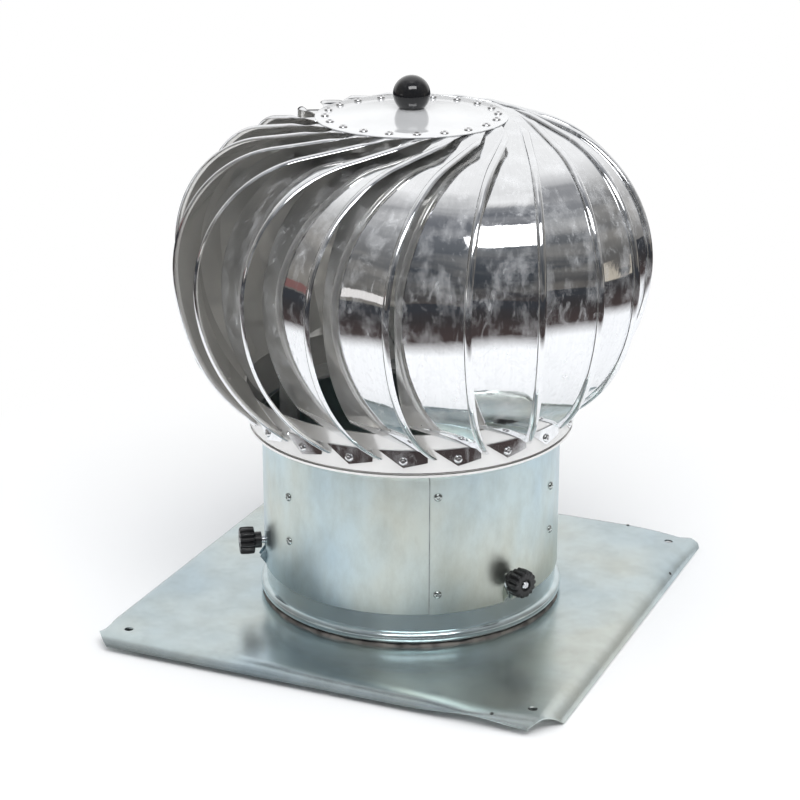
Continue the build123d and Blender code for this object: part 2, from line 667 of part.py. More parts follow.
def vane():
    """One vane in its own frame: outwards along X, its lip on the +Y side."""
    body = vane_body() - vane_top_trim()
    base = PLATE_TOP + RING_LIP_RISE
    crown = EQUATOR - VANE_LOWER_RADIUS / 2
    trim = [
        (0, base), (ring_radius(base - PLATE_TOP) + SHEET_GAP, base),
        (ring_radius(crown - PLATE_TOP) + SHEET_GAP, crown), (0, crown),
    ]
    body -= turned(trim)
    body += vane_foot()
    body -= foot_frame(FOOT_ANGLE, 0) * rivet_hole(VANE_SHEET)
    top_hole = Pos(TOP_RIVET_CIRCLE / 2, 0, DISC_UNDER) * rivet_hole(VANE_SHEET)
    body -= Rot(0, 0, TOP_RIVET_ANGLE) * top_hole
    return body


def top_rivets():
    """Rivets through the disc's rim, one for each vane."""
    grip = DISC_SHEET + SHEET_GAP + VANE_SHEET
    pieces = []
    for angle in around(VANE_COUNT, VANE_START + TOP_RIVET_ANGLE):
        place = Pos(TOP_RIVET_CIRCLE / 2, 0, DISC_UNDER + DISC_SHEET)
        pieces.append(Rot(0, 0, angle) * place * rivet(grip))
    return Compound(children=pieces)


def foot_rivets():
    """Rivets through the vane feet and the flared band."""
    lift = SHEET_GAP + VANE_SHEET + SHEET_GAP
    pieces = []
    for angle in around(VANE_COUNT, VANE_START + FOOT_ANGLE):
        pieces.append(foot_frame(angle, lift) * rivet(lift + RING_SHEET))
    return Compound(children=pieces)


def ball_knob():
    """Plastic ball with a flat seat and a tapped hole for its stud."""
    radius = BALL_DIAMETER / 2
    seat_drop = math.sqrt(radius ** 2 - (BALL_SEAT / 2) ** 2)
    centre = DISC_TOP + seat_drop
    ball = Pos(0, 0, centre) * Sphere(radius)
    ball -= Pos(0, 0, DISC_TOP - BALL_DIAMETER / 2) * Box(BALL_DIAMETER, BALL_DIAMETER, BALL_DIAMETER)
    bore = Cylinder(STUD_DIAMETER / 2 + FIT, 2 * STUD_IN_BALL)
    return ball - Pos(0, 0, DISC_TOP) * bore


def knob_stud():
    """Stud that holds ball, disc and housing together."""
    foot = DISC_TOP - DISC_SHEET - HOUSING_TOP
    return tube(STUD_DIAMETER / 2, 0, foot, DISC_TOP + STUD_IN_BALL - FIT)


def thumb_knob():
    """Fluted plastic head with a plain hub, moulded on its screw; Z runs outwards."""
    hub = Pos(0, 0, KNOB_HUB_LENGTH / 2) * Cylinder(KNOB_HUB_DIAMETER / 2, KNOB_HUB_LENGTH)
    head = Pos(0, 0, KNOB_HUB_LENGTH + KNOB_LENGTH / 2) * Cylinder(KNOB_DIAMETER / 2, KNOB_LENGTH)
    rims = head.edges().filter_by(GeomType.CIRCLE).sort_by(Axis.Z)
    head = chamfer(rims, FLUTE_RADIUS / 2)
    flute = Cylinder(FLUTE_RADIUS, 4 * KNOB_LENGTH)
    for angle in around(KNOB_FLUTES, 0):
        head -= Rot(0, 0, angle) * Pos(KNOB_DIAMETER / 2 + FLUTE_RADIUS / 3, 0, 0) * flute
    bore = Cylinder(SCREW_DIAMETER / 2 + FIT, 8 * KNOB_LENGTH)
    return hub + head - bore


def thumb_screw():
    """Metal screw of a thumb knob, its end showing in the knob's face; Z runs outwards."""
    inward = KNOB_GAP + SLEEVE_RADIUS - STUB_RADIUS + INSERT_LENGTH
    outward = KNOB_HUB_LENGTH + KNOB_LENGTH
    shank = Pos(0, 0, (outward - inward) / 2) * Cylinder(SCREW_DIAMETER / 2, outward + inward)
    return chamfer(shank.edges().filter_by(GeomType.CIRCLE), SCREW_DIAMETER / 10)


def nodes():
    """Every piece by name."""
    pieces = {
        "base_plate": base_plate(),
        "base_stub": base_stub(),
        "stub_seal": stub_seal(),
        "sleeve": sleeve(),
        "seam_rivets": seam_rivets(),
        "arm_rivets": arm_rivets(),
        "hub_plate": hub_plate(),
        "hub_rivets": hub_rivets(),
        "axle": axle(),
        "axle_nut": axle_nut(),
        "axle_washer": axle_washer(),
        "axle_clip": axle_clip(),
        "bearing_spacer": bearing_spacer(),
        "bearing_housing": bearing_housing(),
        "housing_clip": housing_clip(),
        "lower_ring": lower_ring(),
        "top_disc": top_disc(),
        "top_rivets": top_rivets(),
        "foot_rivets": foot_rivets(),
        "ball_knob": ball_knob(),
        "knob_stud": knob_stud(),
    }
    for name, bottom in (("upper", upper_bearing_bottom()), ("lower", lower_bearing_bottom())):
        outer, inner, cage = bearing(bottom)
        pieces[name + "_bearing_outer"] = outer
        pieces[name + "_bearing_inner"] = inner
        pieces[name + "_bearing_cage"] = cage
    arm = bracket_arm()
    for index, angle in enumerate(around(ARM_COUNT, ARM_START), 1):
        pieces[f"bracket_arm_{index}"] = Rot(0, 0, angle) * arm
    knob = thumb_knob()
    screw = thumb_screw()
    insert = screw_insert()
    for index, angle in enumerate(around(SCREW_COUNT, SCREW_START), 1):
        place = radial(angle, SLEEVE_RADIUS + KNOB_GAP, SCREW_Z)
        pieces[f"thumb_knob_{index}"] = place * knob
        pieces[f"thumb_screw_{index}"] = place * screw
        pieces[f"screw_insert_{index}"] = radial(angle, STUB_RADIUS, SCREW_Z) * insert
    blade = vane()
    for index, angle in enumerate(around(VANE_COUNT, VANE_START), 1):
        pieces[f"vane_{index:02d}"] = Rot(0, 0, angle) * blade
    return pieces


os.makedirs("parts", exist_ok=True)
for node, shape in nodes().items():
    export_step(shape, f"parts/{node}.step")
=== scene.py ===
"""Looks of the rotating chimney cowl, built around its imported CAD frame. Metres, +Z up.

Sizes below are in millimetres, as in the part's source; finished meshes are scaled to metres.
"""
import json
import math
import random

import bmesh
import bpy
from mathutils import Matrix, Vector

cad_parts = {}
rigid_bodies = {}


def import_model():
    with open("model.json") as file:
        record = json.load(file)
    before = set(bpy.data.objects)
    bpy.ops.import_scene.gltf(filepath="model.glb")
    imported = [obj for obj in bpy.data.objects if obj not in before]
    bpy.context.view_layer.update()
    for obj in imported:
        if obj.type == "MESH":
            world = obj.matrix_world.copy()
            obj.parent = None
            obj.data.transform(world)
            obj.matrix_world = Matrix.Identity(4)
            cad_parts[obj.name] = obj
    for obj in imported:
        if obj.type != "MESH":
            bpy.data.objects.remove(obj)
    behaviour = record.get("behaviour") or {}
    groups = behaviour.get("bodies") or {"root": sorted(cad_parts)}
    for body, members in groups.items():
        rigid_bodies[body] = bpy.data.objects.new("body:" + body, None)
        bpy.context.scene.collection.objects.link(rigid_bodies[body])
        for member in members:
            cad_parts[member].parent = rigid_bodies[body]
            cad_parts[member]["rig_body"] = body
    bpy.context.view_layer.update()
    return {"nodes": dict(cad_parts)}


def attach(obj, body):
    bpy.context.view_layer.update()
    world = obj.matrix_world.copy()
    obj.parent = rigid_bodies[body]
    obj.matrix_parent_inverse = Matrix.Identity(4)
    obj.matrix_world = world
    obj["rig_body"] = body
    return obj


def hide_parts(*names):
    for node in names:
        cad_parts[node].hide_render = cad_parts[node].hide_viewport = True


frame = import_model()
random.seed(7)

# Camera of the photograph
CAMERA_PLACE = (0.5571, -1.3099, 0.6565)
CAMERA_PITCH = -19.81
CAMERA_HEADING = 23.34
CAMERA_LENS = 101.7

# Heights of the CAD model, above the ground
PLATE_TOP = 10.0
EQUATOR = 243.0
DISC_TOP = 342.4
DISC_FACE = 337.8
DISC_UNDER = 337.0

# Vane strip: two arcs, a ramp and a flat tab under the disc
VANE_COUNT = 20
VANE_START = 9.0
VANE_SHEET = 0.5
SHEET_GAP = 0.1
VANE_REACH = 138.0
LOWER_RADIUS = 116.0
UPPER_RADIUS = 84.976
TAB_REACH = 21.0
VANE_INNER = 24.0
VANE_FOLD = 66.5
LIP_WIDTH = 5.0
LIP_HEIGHT = 2.2
LIP_ROLL = 160.0
LIP_SHARE = 0.32
TAPER_START = 78.0
TAPER_END = 26.6
TAPER_END_ACROSS = 50.0
TAB_END = 10.8
TAB_END_ACROSS = 61.2
TAB_EDGE_SLOPE = 0.41
LOWEST_ANGLE = 75.0
HALVINGS = 30
STRIP_ROWS = 84
STRIP_COLUMNS = 25
STRIP_UV = (0.05, 0.3)

# Wear of the vanes: how far the lower ends of three are knocked out, and slight waves in all of them
KNOCKED_VANES = {9: 5.0, 10: 10.0, 11: 2.0}
KNOCK_Z = 172.0
KNOCK_SPAN = 26.0
LONG_WAVE = 9.0
LONG_WAVE_HEIGHTS = (0.2, 0.7)
SHORT_WAVE = 17.0
SHORT_WAVE_SLANT = 3.0
SHORT_WAVE_HEIGHTS = (0.05, 0.2)

# Riveted feet of the vanes, standing a little off the lower ring
FOOT_ANGLE = 29.5
FOOT_SPREAD = 8.0
FOOT_RIVET_Z = 143.0
FOOT_TOP_Z = 149.5
FOOT_DROP = 4.6
FOOT_NEAR_RISE = 6.5
FOOT_FAR_DROP = 1.5
FOOT_OFFSET = 1.5
FOOT_TILT = 4.0
FOOT_CELLS = (12, 6)
TOP_RIVET_ANGLE = 71.5
TOP_RIVET_RADIUS = 55.6

# Lower ring: (radius, height) places on its outside, and drops below its neck
RING_LIP = (102.0, 126.4)
RING_BEAD = (108.4, 130.8)
RING_NECK = (108.0, 133.8)
RING_TOP = (110.3, 160.0)
RING_SHEET = 0.8
RING_GROOVE = 1.8
RING_EDGE_RISE = 0.2
RING_LIP_RISE = 0.3
BEAD_ROUND = (0.6, 0.3)
BEAD_TOP_DROP = 1.5
GROOVE_START_DROP = 1.1
GROOVE_END_DROP = 0.2
BEAD_FACES_DROP = 0.3

# Top disc and ball
DISC_RADIUS = 62.1
DISC_DOME_RADIUS = 48.1
DISC_CROWN_RADIUS = 9.0
DISC_CROWN_DROP = 0.05
DISC_DOME_STEPS = 8
DISC_EDGE_ROUND = (0.5, 0.3)
DISC_SHEET = 0.8
STUD_HOLE_RADIUS = 4.1
BALL_RADIUS = 12.0
BALL_SEAT_RADIUS = 7.8
BALL_GAP = 0.02

# Rivet head with the recess of its pulled pin: (radius, height)
RIVET_OUTLINE = (
    (0.0, 0.75), (0.85, 0.8), (1.05, 1.35), (1.5, 1.4), (2.2, 1.05), (2.7, 0.5), (2.8, 0.0), (0.0, 0.0),
)

# Sleeve with its lap seam and rivets, and the sealant round the stub
SLEEVE_RADIUS = 100.0
SLEEVE_BOTTOM = 32.5
SLEEVE_TOP = 136.0
SEAL_RADIUS = 98.9
SEAL_BEAD_RADIUS = 1.7
SEAL_BEAD_OUT = 1.2
SEAL_BEAD_START = 150.0
SEAL_SPREAD = 0.4
SEAL_WAVES = ((0.22, 17.0, 0.0), (0.16, 41.0, 1.0))
LAP_SHEET = 0.7
LAP_EDGE_ANGLE = -60.2
SEAM_WIDTH = 0.55
SEAM_DEPTH = 0.3
SEAM_SHORTER = 0.2
LAP_RIVET_ANGLE = -57.14
LAP_RIVET_HEIGHTS = (46.5, 114.0)
ARM_ANGLES = (0.0, 120.0, 240.0)
ARM_RIVET_HEIGHTS = (67.0, 98.0)

# Thumb knobs: sections of (distance, radius, groove depth), and the screw's end in (radius, distance)
SCREW_ANGLES = (-27.6, 92.4, 212.4)
SCREW_Z = 49.3
KNOB_START = 102.6
KNOB_LOBES = 14
LOBE_STEPS = 10
GROOVE_SHARPNESS = 5
KNOB_SECTIONS = (
    (0.0, 5.2, 0.0), (0.3, 5.5, 0.0), (4.4, 5.5, 0.0), (4.8, 6.2, 0.2), (4.9, 8.4, 1.1),
    (5.5, 9.2, 1.6), (9.0, 9.45, 1.7), (13.6, 9.3, 1.7), (14.4, 8.8, 1.5), (14.8, 7.6, 0.6),
    (14.8, 4.3, 0.0), (14.4, 3.8, 0.0), (13.2, 3.6, 0.0),
)
SCREW_END_OUTLINE = ((0.0, 14.5), (1.6, 14.45), (2.3, 14.0), (2.5, 13.2), (0.0, 13.2))

# Plate: flat middle, soft folds at the front and right, tight ones at the left and back
PLATE_HALF = 160.0
PLATE_SHEET = 1.0
HOLE_PLACE = 141.5
HOLE_RADIUS = 3.0
HOLE_STEPS = 24
FLUE_STEPS = 128
BORDER_START = 146.0
BORDER_CELLS = 160
RIM_MARGIN = 0.1
FRONT_FOLD_START = 147.0
FRONT_FOLD_DROP = 5.8
FRONT_KINK_X = 107.0
FRONT_KINK_RISE = 3.4
FRONT_KINK_SPAN = 22.0
RIGHT_FOLD_START = 149.0
RIGHT_FOLD_DROP = 9.1
FOLD_TURN = 75.0
TIGHT_FOLD_RADIUS = 4.0
TIGHT_FLAT_SHARE = 0.4
TIGHT_BEND_SHARE = 0.35
TIGHT_FOLD_END = 156.0
TIGHT_FOLD_RUN = 30.0
CORNER_CUTS = (
    ((-148, -160), (-1, -1)), ((157, 160), (1, 1)), ((144, -160), (24, -16)), ((-148, 160), (-1, 1)),
)
CORNER_BEND_START = 186.0
CORNER_BEND_SPAN = 32.0
CORNER_BEND_DROP = 3.0
CORNER_BEND_POWER = 1.4
CORNER_BEND_CUTS = 5
PRICKS = ((120.1, -153.9), (106.0, 152.2), (156.0, 94.0))
PRICK_RADIUS = 1.2
PRICK_FLATNESS = 0.25
SLOPE_STEP = 0.5

# Stage, in metres: the floor turns white to the camera and dim in reflections between two distances
FLOOR_SIZE = 6.0
FLOOR_WHITE = (0.2, 0.5)
ROOM_BEHIND = 0.2
ROOM_EDGE = (0.62, 0.76)
ROOM_DEPTH = (0.7, 2.2)
CARD_DISTANCE = 2.0
CARD_EYE = 0.25
SOFT_LIGHT = 0.72
OVERHEAD_WATTS = 15.0
STRIP_WATTS = 45.0
STRIP_PLACE = (0.0, -2.0, 2.75)
STRIP_AZIMUTH = 8.0


def finished(name, bm, material, body, replaced, sharp=35.0):
    """Makes the bmesh, drawn in millimetres, a smooth-shaded piece that rides on its body."""
    bmesh.ops.scale(bm, vec=(0.001, 0.001, 0.001), verts=bm.verts)
    return placed(name, bm, material, body, replaced, sharp)


def placed(name, bm, material, body, replaced, sharp=35.0):
    """The same for a bmesh that is in metres already."""
    limit = math.radians(sharp)
    for face in bm.faces:
        face.smooth = True
    for edge in bm.edges:
        edge.smooth = len(edge.link_faces) == 2 and edge.calc_face_angle(0.0) < limit
    mesh = bpy.data.meshes.new(name)
    bm.to_mesh(mesh)
    bm.free()
    mesh.materials.append(material)
    piece = bpy.data.objects.new(name, mesh)
    bpy.context.scene.collection.objects.link(piece)
    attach(piece, body)
    if replaced:
        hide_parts(*replaced)
    return piece


def merged_copy(node):
    """Bmesh copy of a CAD node with its loose triangles joined."""
    bm = bmesh.new()
    bm.from_mesh(frame["nodes"][node].data)
    bmesh.ops.remove_doubles(bm, verts=bm.verts, dist=1e-6)
    return bm


def smooth_copy(node, material):
    """Stands for a CAD node with a merged copy of its mesh, so that round faces shade smoothly."""
    body = frame["nodes"][node]["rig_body"]
    return placed(node + "_skin", merged_copy(node), material, body, [node])


def turned(bm, outline, steps=96, closed=True):
    """Spins an outline of (radius, height) points a full turn about Z."""
    verts = [bm.verts.new((radius, 0.0, height)) for radius, height in outline]
    edges = [bm.edges.new(pair) for pair in zip(verts, verts[1:])]
    if closed:
        edges.append(bm.edges.new((verts[-1], verts[0])))
    bmesh.ops.spin(bm, geom=verts + edges, cent=(0, 0, 0), axis=(0, 0, 1), dvec=(0, 0, 0),
                   angle=math.tau, steps=steps, use_merge=True, use_duplicate=False)
    bmesh.ops.remove_doubles(bm, verts=bm.verts, dist=1e-4)
    bmesh.ops.recalc_face_normals(bm, faces=bm.faces)


def joined(bm, part, place):
    """Adds a small bmesh to a larger one at a place, and frees it."""
    bmesh.ops.transform(part, matrix=place, verts=part.verts)
    mesh = bpy.data.meshes.new("draft")
    part.to_mesh(mesh)
    part.free()
    bm.from_mesh(mesh)
    bpy.data.meshes.remove(mesh)


def arc(centre, radius, start, end, count):
    """Points on an arc in an outline, angles in degrees from the outward direction."""
    points = []
    for index in range(count + 1):
        angle = math.radians(start + (end - start) * index / count)
        points.append((centre[0] + radius * math.cos(angle), centre[1] + radius * math.sin(angle)))
    return points


def turn(angle):
    """Rotation about the axle, in degrees."""
    return Matrix.Rotation(math.radians(angle), 4, "Z")


def lean(angle):
    """Rotation about Y, in degrees: 90 turns a rivet's head outwards."""
    return Matrix.Rotation(math.radians(angle), 4, "Y")


def shift(x, y, z):
    """Translation."""
    return Matrix.Translation((x, y, z))


# Materials

NOISE = "ShaderNodeTexNoise"


def shader(name):
    """New node material: its tree and its Principled shader."""
    material = bpy.data.materials.new(name)
    material.use_nodes = True
    tree = material.node_tree
    return material, tree, tree.nodes["Principled BSDF"]


def texture(tree, kind, coordinates, scale, stretch=(1, 1, 1), **settings):
    """Texture node on the given coordinates, stretched by a Mapping node."""
    source = tree.nodes.new("ShaderNodeTexCoord")
    mapping = tree.nodes.new("ShaderNodeMapping")
    mapping.inputs["Scale"].default_value = stretch
    tree.links.new(source.outputs[coordinates], mapping.inputs["Vector"])
    node = tree.nodes.new(kind)
    node.inputs["Scale"].default_value = scale
    for key, value in settings.items():
        node.inputs[key].default_value = value
    tree.links.new(mapping.outputs["Vector"], node.inputs["Vector"])
    return node


def ramp(tree, source, stops):
    """Colour ramp on a value; stops are (place, colour) pairs."""
    node = tree.nodes.new("ShaderNodeValToRGB")
    elements = node.color_ramp.elements
    while len(elements) < len(stops):
        elements.new(0.5)
    for element, (place, colour) in zip(elements, stops):
        element.position = place
        element.color = (*colour, 1.0)
    tree.links.new(source, node.inputs["Fac"])
    return node.outputs["Color"]


def spread(tree, source, low, high, start=0.0, end=1.0):
    """Maps a value from start..end to low..high."""
    node = tree.nodes.new("ShaderNodeMapRange")
    node.inputs["From Min"].default_value = start
    node.inputs["From Max"].default_value = end
    node.inputs["To Min"].default_value = low
    node.inputs["To Max"].default_value = high
    tree.links.new(source, node.inputs["Value"])
    return node.outputs["Result"]


def worked_out(tree, operation, first, second):
    """Result of a Math node on two sockets, kept between 0 and 1."""
    node = tree.nodes.new("ShaderNodeMath")
    node.operation = operation
    node.use_clamp = True
    tree.links.new(first, node.inputs[0])
    tree.links.new(second, node.inputs[1])
    return node.outputs["Value"]


def bump(tree, shader_node, source, strength, distance, below=None):
    """Bump from a height, chained on another bump's normal where one is given."""
    node = tree.nodes.new("ShaderNodeBump")
    node.inputs["Strength"].default_value = strength
    node.inputs["Distance"].default_value = distance
    tree.links.new(source, node.inputs["Height"])
    if below:
        tree.links.new(below, node.inputs["Normal"])
    tree.links.new(node.outputs["Normal"], shader_node.inputs["Normal"])
    return node.outputs["Normal"]


def polished_sheet():
    """Mirror-polished vane steel: streaks along the strip, haze, scuffs, speckle and slight ripples."""
    material, tree, principled = shader("polished_vane_steel")
    principled.inputs["Metallic"].default_value = 1.0
    streaks = texture(tree, NOISE, "UV", 1.0, (900, 9, 1), Detail=3.0)
    cloud = texture(tree, NOISE, "Object", 24.0, (1, 1, 0.6), Detail=5.0, Distortion=0.6)
    scuffs = texture(tree, NOISE, "Object", 130.0, (1, 1, 0.5), Detail=5.0, Distortion=1.6)
    speckle = texture(tree, NOISE, "Object", 420.0, Detail=2.0)
    stops = [(0.35, (0.84, 0.85, 0.865)), (0.7, (0.89, 0.9, 0.915))]
    tree.links.new(ramp(tree, streaks.outputs["Fac"], stops), principled.inputs["Base Color"])
    hazy = texture(tree, NOISE, "Object", 75.0, (1, 1, 0.6), Detail=8.0, Roughness=0.65)
    haze = spread(tree, hazy.outputs["Fac"], 0.0, 0.28, 0.49, 0.7)
    wiped = spread(tree, scuffs.outputs["Fac"], 0.0, 0.18, 0.58, 0.7)
    clear = spread(tree, worked_out(tree, "ADD", haze, wiped), 1.0, 0.0)
    tree.links.new(clear, principled.inputs["Metallic"])
    dull = spread(tree, cloud.outputs["Fac"], 0.02, 0.08, 0.35, 0.7)
    scuffed = spread(tree, scuffs.outputs["Fac"], 0.0, 0.08, 0.58, 0.74)
    tree.links.new(worked_out(tree, "ADD", dull, scuffed), principled.inputs["Roughness"])
    ripple = bump(tree, principled, cloud.outputs["Fac"], 0.16, 0.0014)
    lines = bump(tree, principled, streaks.outputs["Fac"], 0.012, 0.0002, ripple)
    bump(tree, principled, speckle.outputs["Fac"], 0.03, 0.0002, lines)
    return material


def satin_sheet(name, colour, metallic, roughness):
    """Unpolished sheet steel: a satin face that scatters light as well as mirroring it."""
    material, tree, principled = shader(name)
    principled.inputs["Metallic"].default_value = metallic
    patches = texture(tree, NOISE, "Object", 24.0, Detail=4.0)
    darker = tuple(0.9 * value for value in colour)
    tone = ramp(tree, patches.outputs["Fac"], [(0.35, darker), (0.65, colour)])
    tree.links.new(tone, principled.inputs["Base Color"])
    dulled = spread(tree, patches.outputs["Fac"], roughness * 0.85, roughness * 1.15, 0.35, 0.65)
    tree.links.new(dulled, principled.inputs["Roughness"])
    bump(tree, principled, patches.outputs["Fac"], 0.05, 0.0008)
    return material


def zinc_sheet(name, tones, roughness, cloud_scale, metallic=1.0):
    """Zinc-coated sheet: cloudy tints darkened by faint upright streaks of painted reflection, and
    blurred reflections.
    """
    material, tree, principled = shader(name)
    principled.inputs["Metallic"].default_value = metallic
    cloud = texture(tree, NOISE, "Object", cloud_scale, (1, 1, 0.6), Detail=3.0, Roughness=0.45)
    stops = [(0.34 + 0.32 * index / (len(tones) - 1), tone) for index, tone in enumerate(tones)]
    # Painted reflection: upright streaks darken the tint in places, standing for blurred reflections of
    # the parts above
    streaks = texture(tree, NOISE, "Object", cloud_scale * 5, (1, 1, 0.5), Detail=8.0, Roughness=0.68)
    streak_reflection_tint = ramp(tree, streaks.outputs["Fac"], [(0.32, (0.86, 0.85, 0.83)), (0.6, (1.0, 1.0, 1.0))])
    tone = tree.nodes.new("ShaderNodeMixRGB")
    tone.blend_type = "MULTIPLY"
    tone.inputs["Fac"].default_value = 1.0
    tree.links.new(ramp(tree, cloud.outputs["Fac"], stops), tone.inputs["Color1"])
    tree.links.new(streak_reflection_tint, tone.inputs["Color2"])
    tree.links.new(tone.outputs["Color"], principled.inputs["Base Color"])
    dulled = spread(tree, cloud.outputs["Fac"], *roughness, 0.35, 0.65)
    tree.links.new(dulled, principled.inputs["Roughness"])
    bump(tree, principled, cloud.outputs["Fac"], 0.04, 0.0015)
    return material


def bright_metal(name, colour, roughness):
    """Plain bright metal with a little grain."""
    material, tree, principled = shader(name)
    principled.inputs["Metallic"].default_value = 1.0
    principled.inputs["Base Color"].default_value = (*colour, 1.0)
    grain = texture(tree, NOISE, "Object", 300.0, Detail=4.0)
    dulled = spread(tree, grain.outputs["Fac"], roughness * 0.8, roughness * 1.25, 0.3, 0.7)
    tree.links.new(dulled, principled.inputs["Roughness"])
    bump(tree, principled, grain.outputs["Fac"], 0.03, 0.0003)
    return material


def moulded_plastic(name, colour, roughness, coat, grain_depth):
    """Moulded plastic with a fine grain, under a clear coat where it is polished."""
    material, tree, principled = shader(name)
    principled.inputs["Base Color"].default_value = (*colour, 1.0)
    principled.inputs["Coat Weight"].default_value = coat
    grain = texture(tree, NOISE, "Object", 700.0, Detail=3.0)
    dulled = spread(tree, grain.outputs["Fac"], roughness * 0.8, roughness * 1.25, 0.3, 0.7)
    tree.links.new(dulled, principled.inputs["Roughness"])
    bump(tree, principled, grain.outputs["Fac"], grain_depth, 0.0002)
    return material


def dull_coat(name, dark, light, roughness):
    """Dull uneven material, for the sealant, the painted shadow of the lap's seam and the painted shade
    in the pricked holes.
    """
    material, tree, principled = shader(name)
    lumps = texture(tree, NOISE, "Object", 120.0, Detail=4.0)
    tone = ramp(tree, lumps.outputs["Fac"], [(0.35, dark), (0.65, light)])
    tree.links.new(tone, principled.inputs["Base Color"])
    principled.inputs["Roughness"].default_value = roughness
    bump(tree, principled, lumps.outputs["Fac"], 0.5, 0.001)
    return material


VANE_STEEL = polished_sheet()
VANE_INSIDE = satin_sheet("vane_inside_steel", (0.86, 0.845, 0.81), 0.56, 0.12)
RING_STEEL = satin_sheet("ring_steel", (0.84, 0.832, 0.82), 0.45, 0.22)
RING_BEAD_STEEL = bright_metal("ring_bead_steel", (0.8, 0.795, 0.785), 0.14)
DISC_STEEL = satin_sheet("disc_steel", (0.88, 0.886, 0.893), 0.42, 0.1)
PLATE_ZINC = zinc_sheet("plate_zinc", [(0.47, 0.57, 0.62), (0.57, 0.65, 0.66), (0.62, 0.66, 0.62)],
                        (0.2, 0.27), 9.0, 0.9)
SLEEVE_ZINC = zinc_sheet("sleeve_zinc", [(0.49, 0.62, 0.69), (0.59, 0.69, 0.7), (0.66, 0.7, 0.64)],
                         (0.3, 0.38), 15.0)
STUB_ZINC = zinc_sheet("stub_zinc", [(0.58, 0.69, 0.72), (0.68, 0.77, 0.79)],
                       (0.12, 0.16), 12.0, 0.86)
BRACKET_ZINC = zinc_sheet("bracket_zinc", [(0.5, 0.53, 0.56), (0.6, 0.62, 0.63)],
                          (0.28, 0.38), 20.0)
RIVET_METAL = bright_metal("rivet_metal", (0.8, 0.8, 0.81), 0.2)
SLEEVE_RIVET_METAL = bright_metal("sleeve_rivet_metal", (0.46, 0.5, 0.49), 0.2)
TURNED_STEEL = bright_metal("turned_steel", (0.62, 0.63, 0.65), 0.25)
HOUSING_METAL = bright_metal("housing_metal", (0.68, 0.69, 0.7), 0.35)
CAGE_BRASS = bright_metal("cage_brass", (0.72, 0.55, 0.28), 0.3)
BALL_PLASTIC = moulded_plastic("ball_plastic", (0.010, 0.010, 0.011), 0.07, 0.5, 0.01)
KNOB_PLASTIC = moulded_plastic("knob_plastic", (0.016, 0.016, 0.017), 0.34, 0.0, 0.12)
SEALANT = dull_coat("dark_sealant", (0.045, 0.04, 0.036), (0.17, 0.155, 0.14), 0.6)
# Painted shadow along the edge of the sleeve's lap: a dull dark strip
LAP_SHADOW_PAINT = dull_coat("seam_shadow", (0.2, 0.22, 0.225), (0.36, 0.39, 0.4), 0.6)
# Painted shade: the near-black inside of the pricked pilot holes
PRICK_SHADE = dull_coat("pricked_hole_shade", (0.02, 0.02, 0.02), (0.05, 0.05, 0.05), 0.8)


# Vanes

def ring_radius(height):
    """Outer radius of the lower ring's flared band at a height above the ground."""
    share = (height - RING_NECK[1]) / (RING_TOP[1] - RING_NECK[1])
    return RING_NECK[0] + share * (RING_TOP[0] - RING_NECK[0])


def lower_end(across):
    """Angle below the equator at which the strip reaches the ring, at a place across it."""
    low, high = 0.0, math.radians(LOWEST_ANGLE)
    for _ in range(HALVINGS):
        middle = (low + high) / 2
        out = VANE_REACH - LOWER_RADIUS * (1 - math.cos(middle))
        height = EQUATOR - LOWER_RADIUS * math.sin(middle)
        if math.hypot(out, across) > ring_radius(height) + SHEET_GAP + VANE_SHEET / 2:
            low = middle
        else:
            high = middle
    return low


def strip_path(along, end_angle):
    """Place along the strip, 0 at the ring to 1 at its tab: out, height and outward normal."""
    centre = VANE_REACH - UPPER_RADIUS
    tab_z = DISC_UNDER - SHEET_GAP - VANE_SHEET / 2
    span = math.hypot(tab_z - EQUATOR, TAB_REACH - centre)
    rise = math.atan2(tab_z - EQUATOR, TAB_REACH - centre) - math.acos(UPPER_RADIUS / span)
    arc_end_out = centre + UPPER_RADIUS * math.cos(rise)
    arc_end_z = EQUATOR + UPPER_RADIUS * math.sin(rise)
    ramp_length = math.sqrt(span ** 2 - UPPER_RADIUS ** 2)
    lengths = [LOWER_RADIUS * end_angle, UPPER_RADIUS * rise, ramp_length, TAB_REACH - TAB_END]
    place = along * sum(lengths)
    if place < lengths[0]:
        angle = end_angle - place / LOWER_RADIUS
        out = VANE_REACH - LOWER_RADIUS * (1 - math.cos(angle))
        return out, EQUATOR - LOWER_RADIUS * math.sin(angle), (math.cos(angle), -math.sin(angle))
    place -= lengths[0]
    if place < lengths[1]:
        angle = place / UPPER_RADIUS
        out = centre + UPPER_RADIUS * math.cos(angle)
        return out, EQUATOR + UPPER_RADIUS * math.sin(angle), (math.cos(angle), math.sin(angle))
    place -= lengths[1]
    if place < lengths[2]:
        normal = (math.cos(rise), math.sin(rise))
        return arc_end_out - place * math.sin(rise), arc_end_z + place * math.cos(rise), normal
    return TAB_REACH - (place - lengths[2]), tab_z, (0.0, 1.0)


def edge_limits(out):
    """Where the strip's inner edge and its lip lie across it, at a distance from the axle."""
    share = min(max((TAPER_START - out) / (TAPER_START - TAPER_END), 0.0), 1.0)
    inner = VANE_INNER + share * (TAPER_END_ACROSS - VANE_INNER)
    lip = VANE_FOLD + LIP_WIDTH
    return inner, min(lip, TAB_END_ACROSS + (out - TAB_END) * TAB_EDGE_SLOPE)


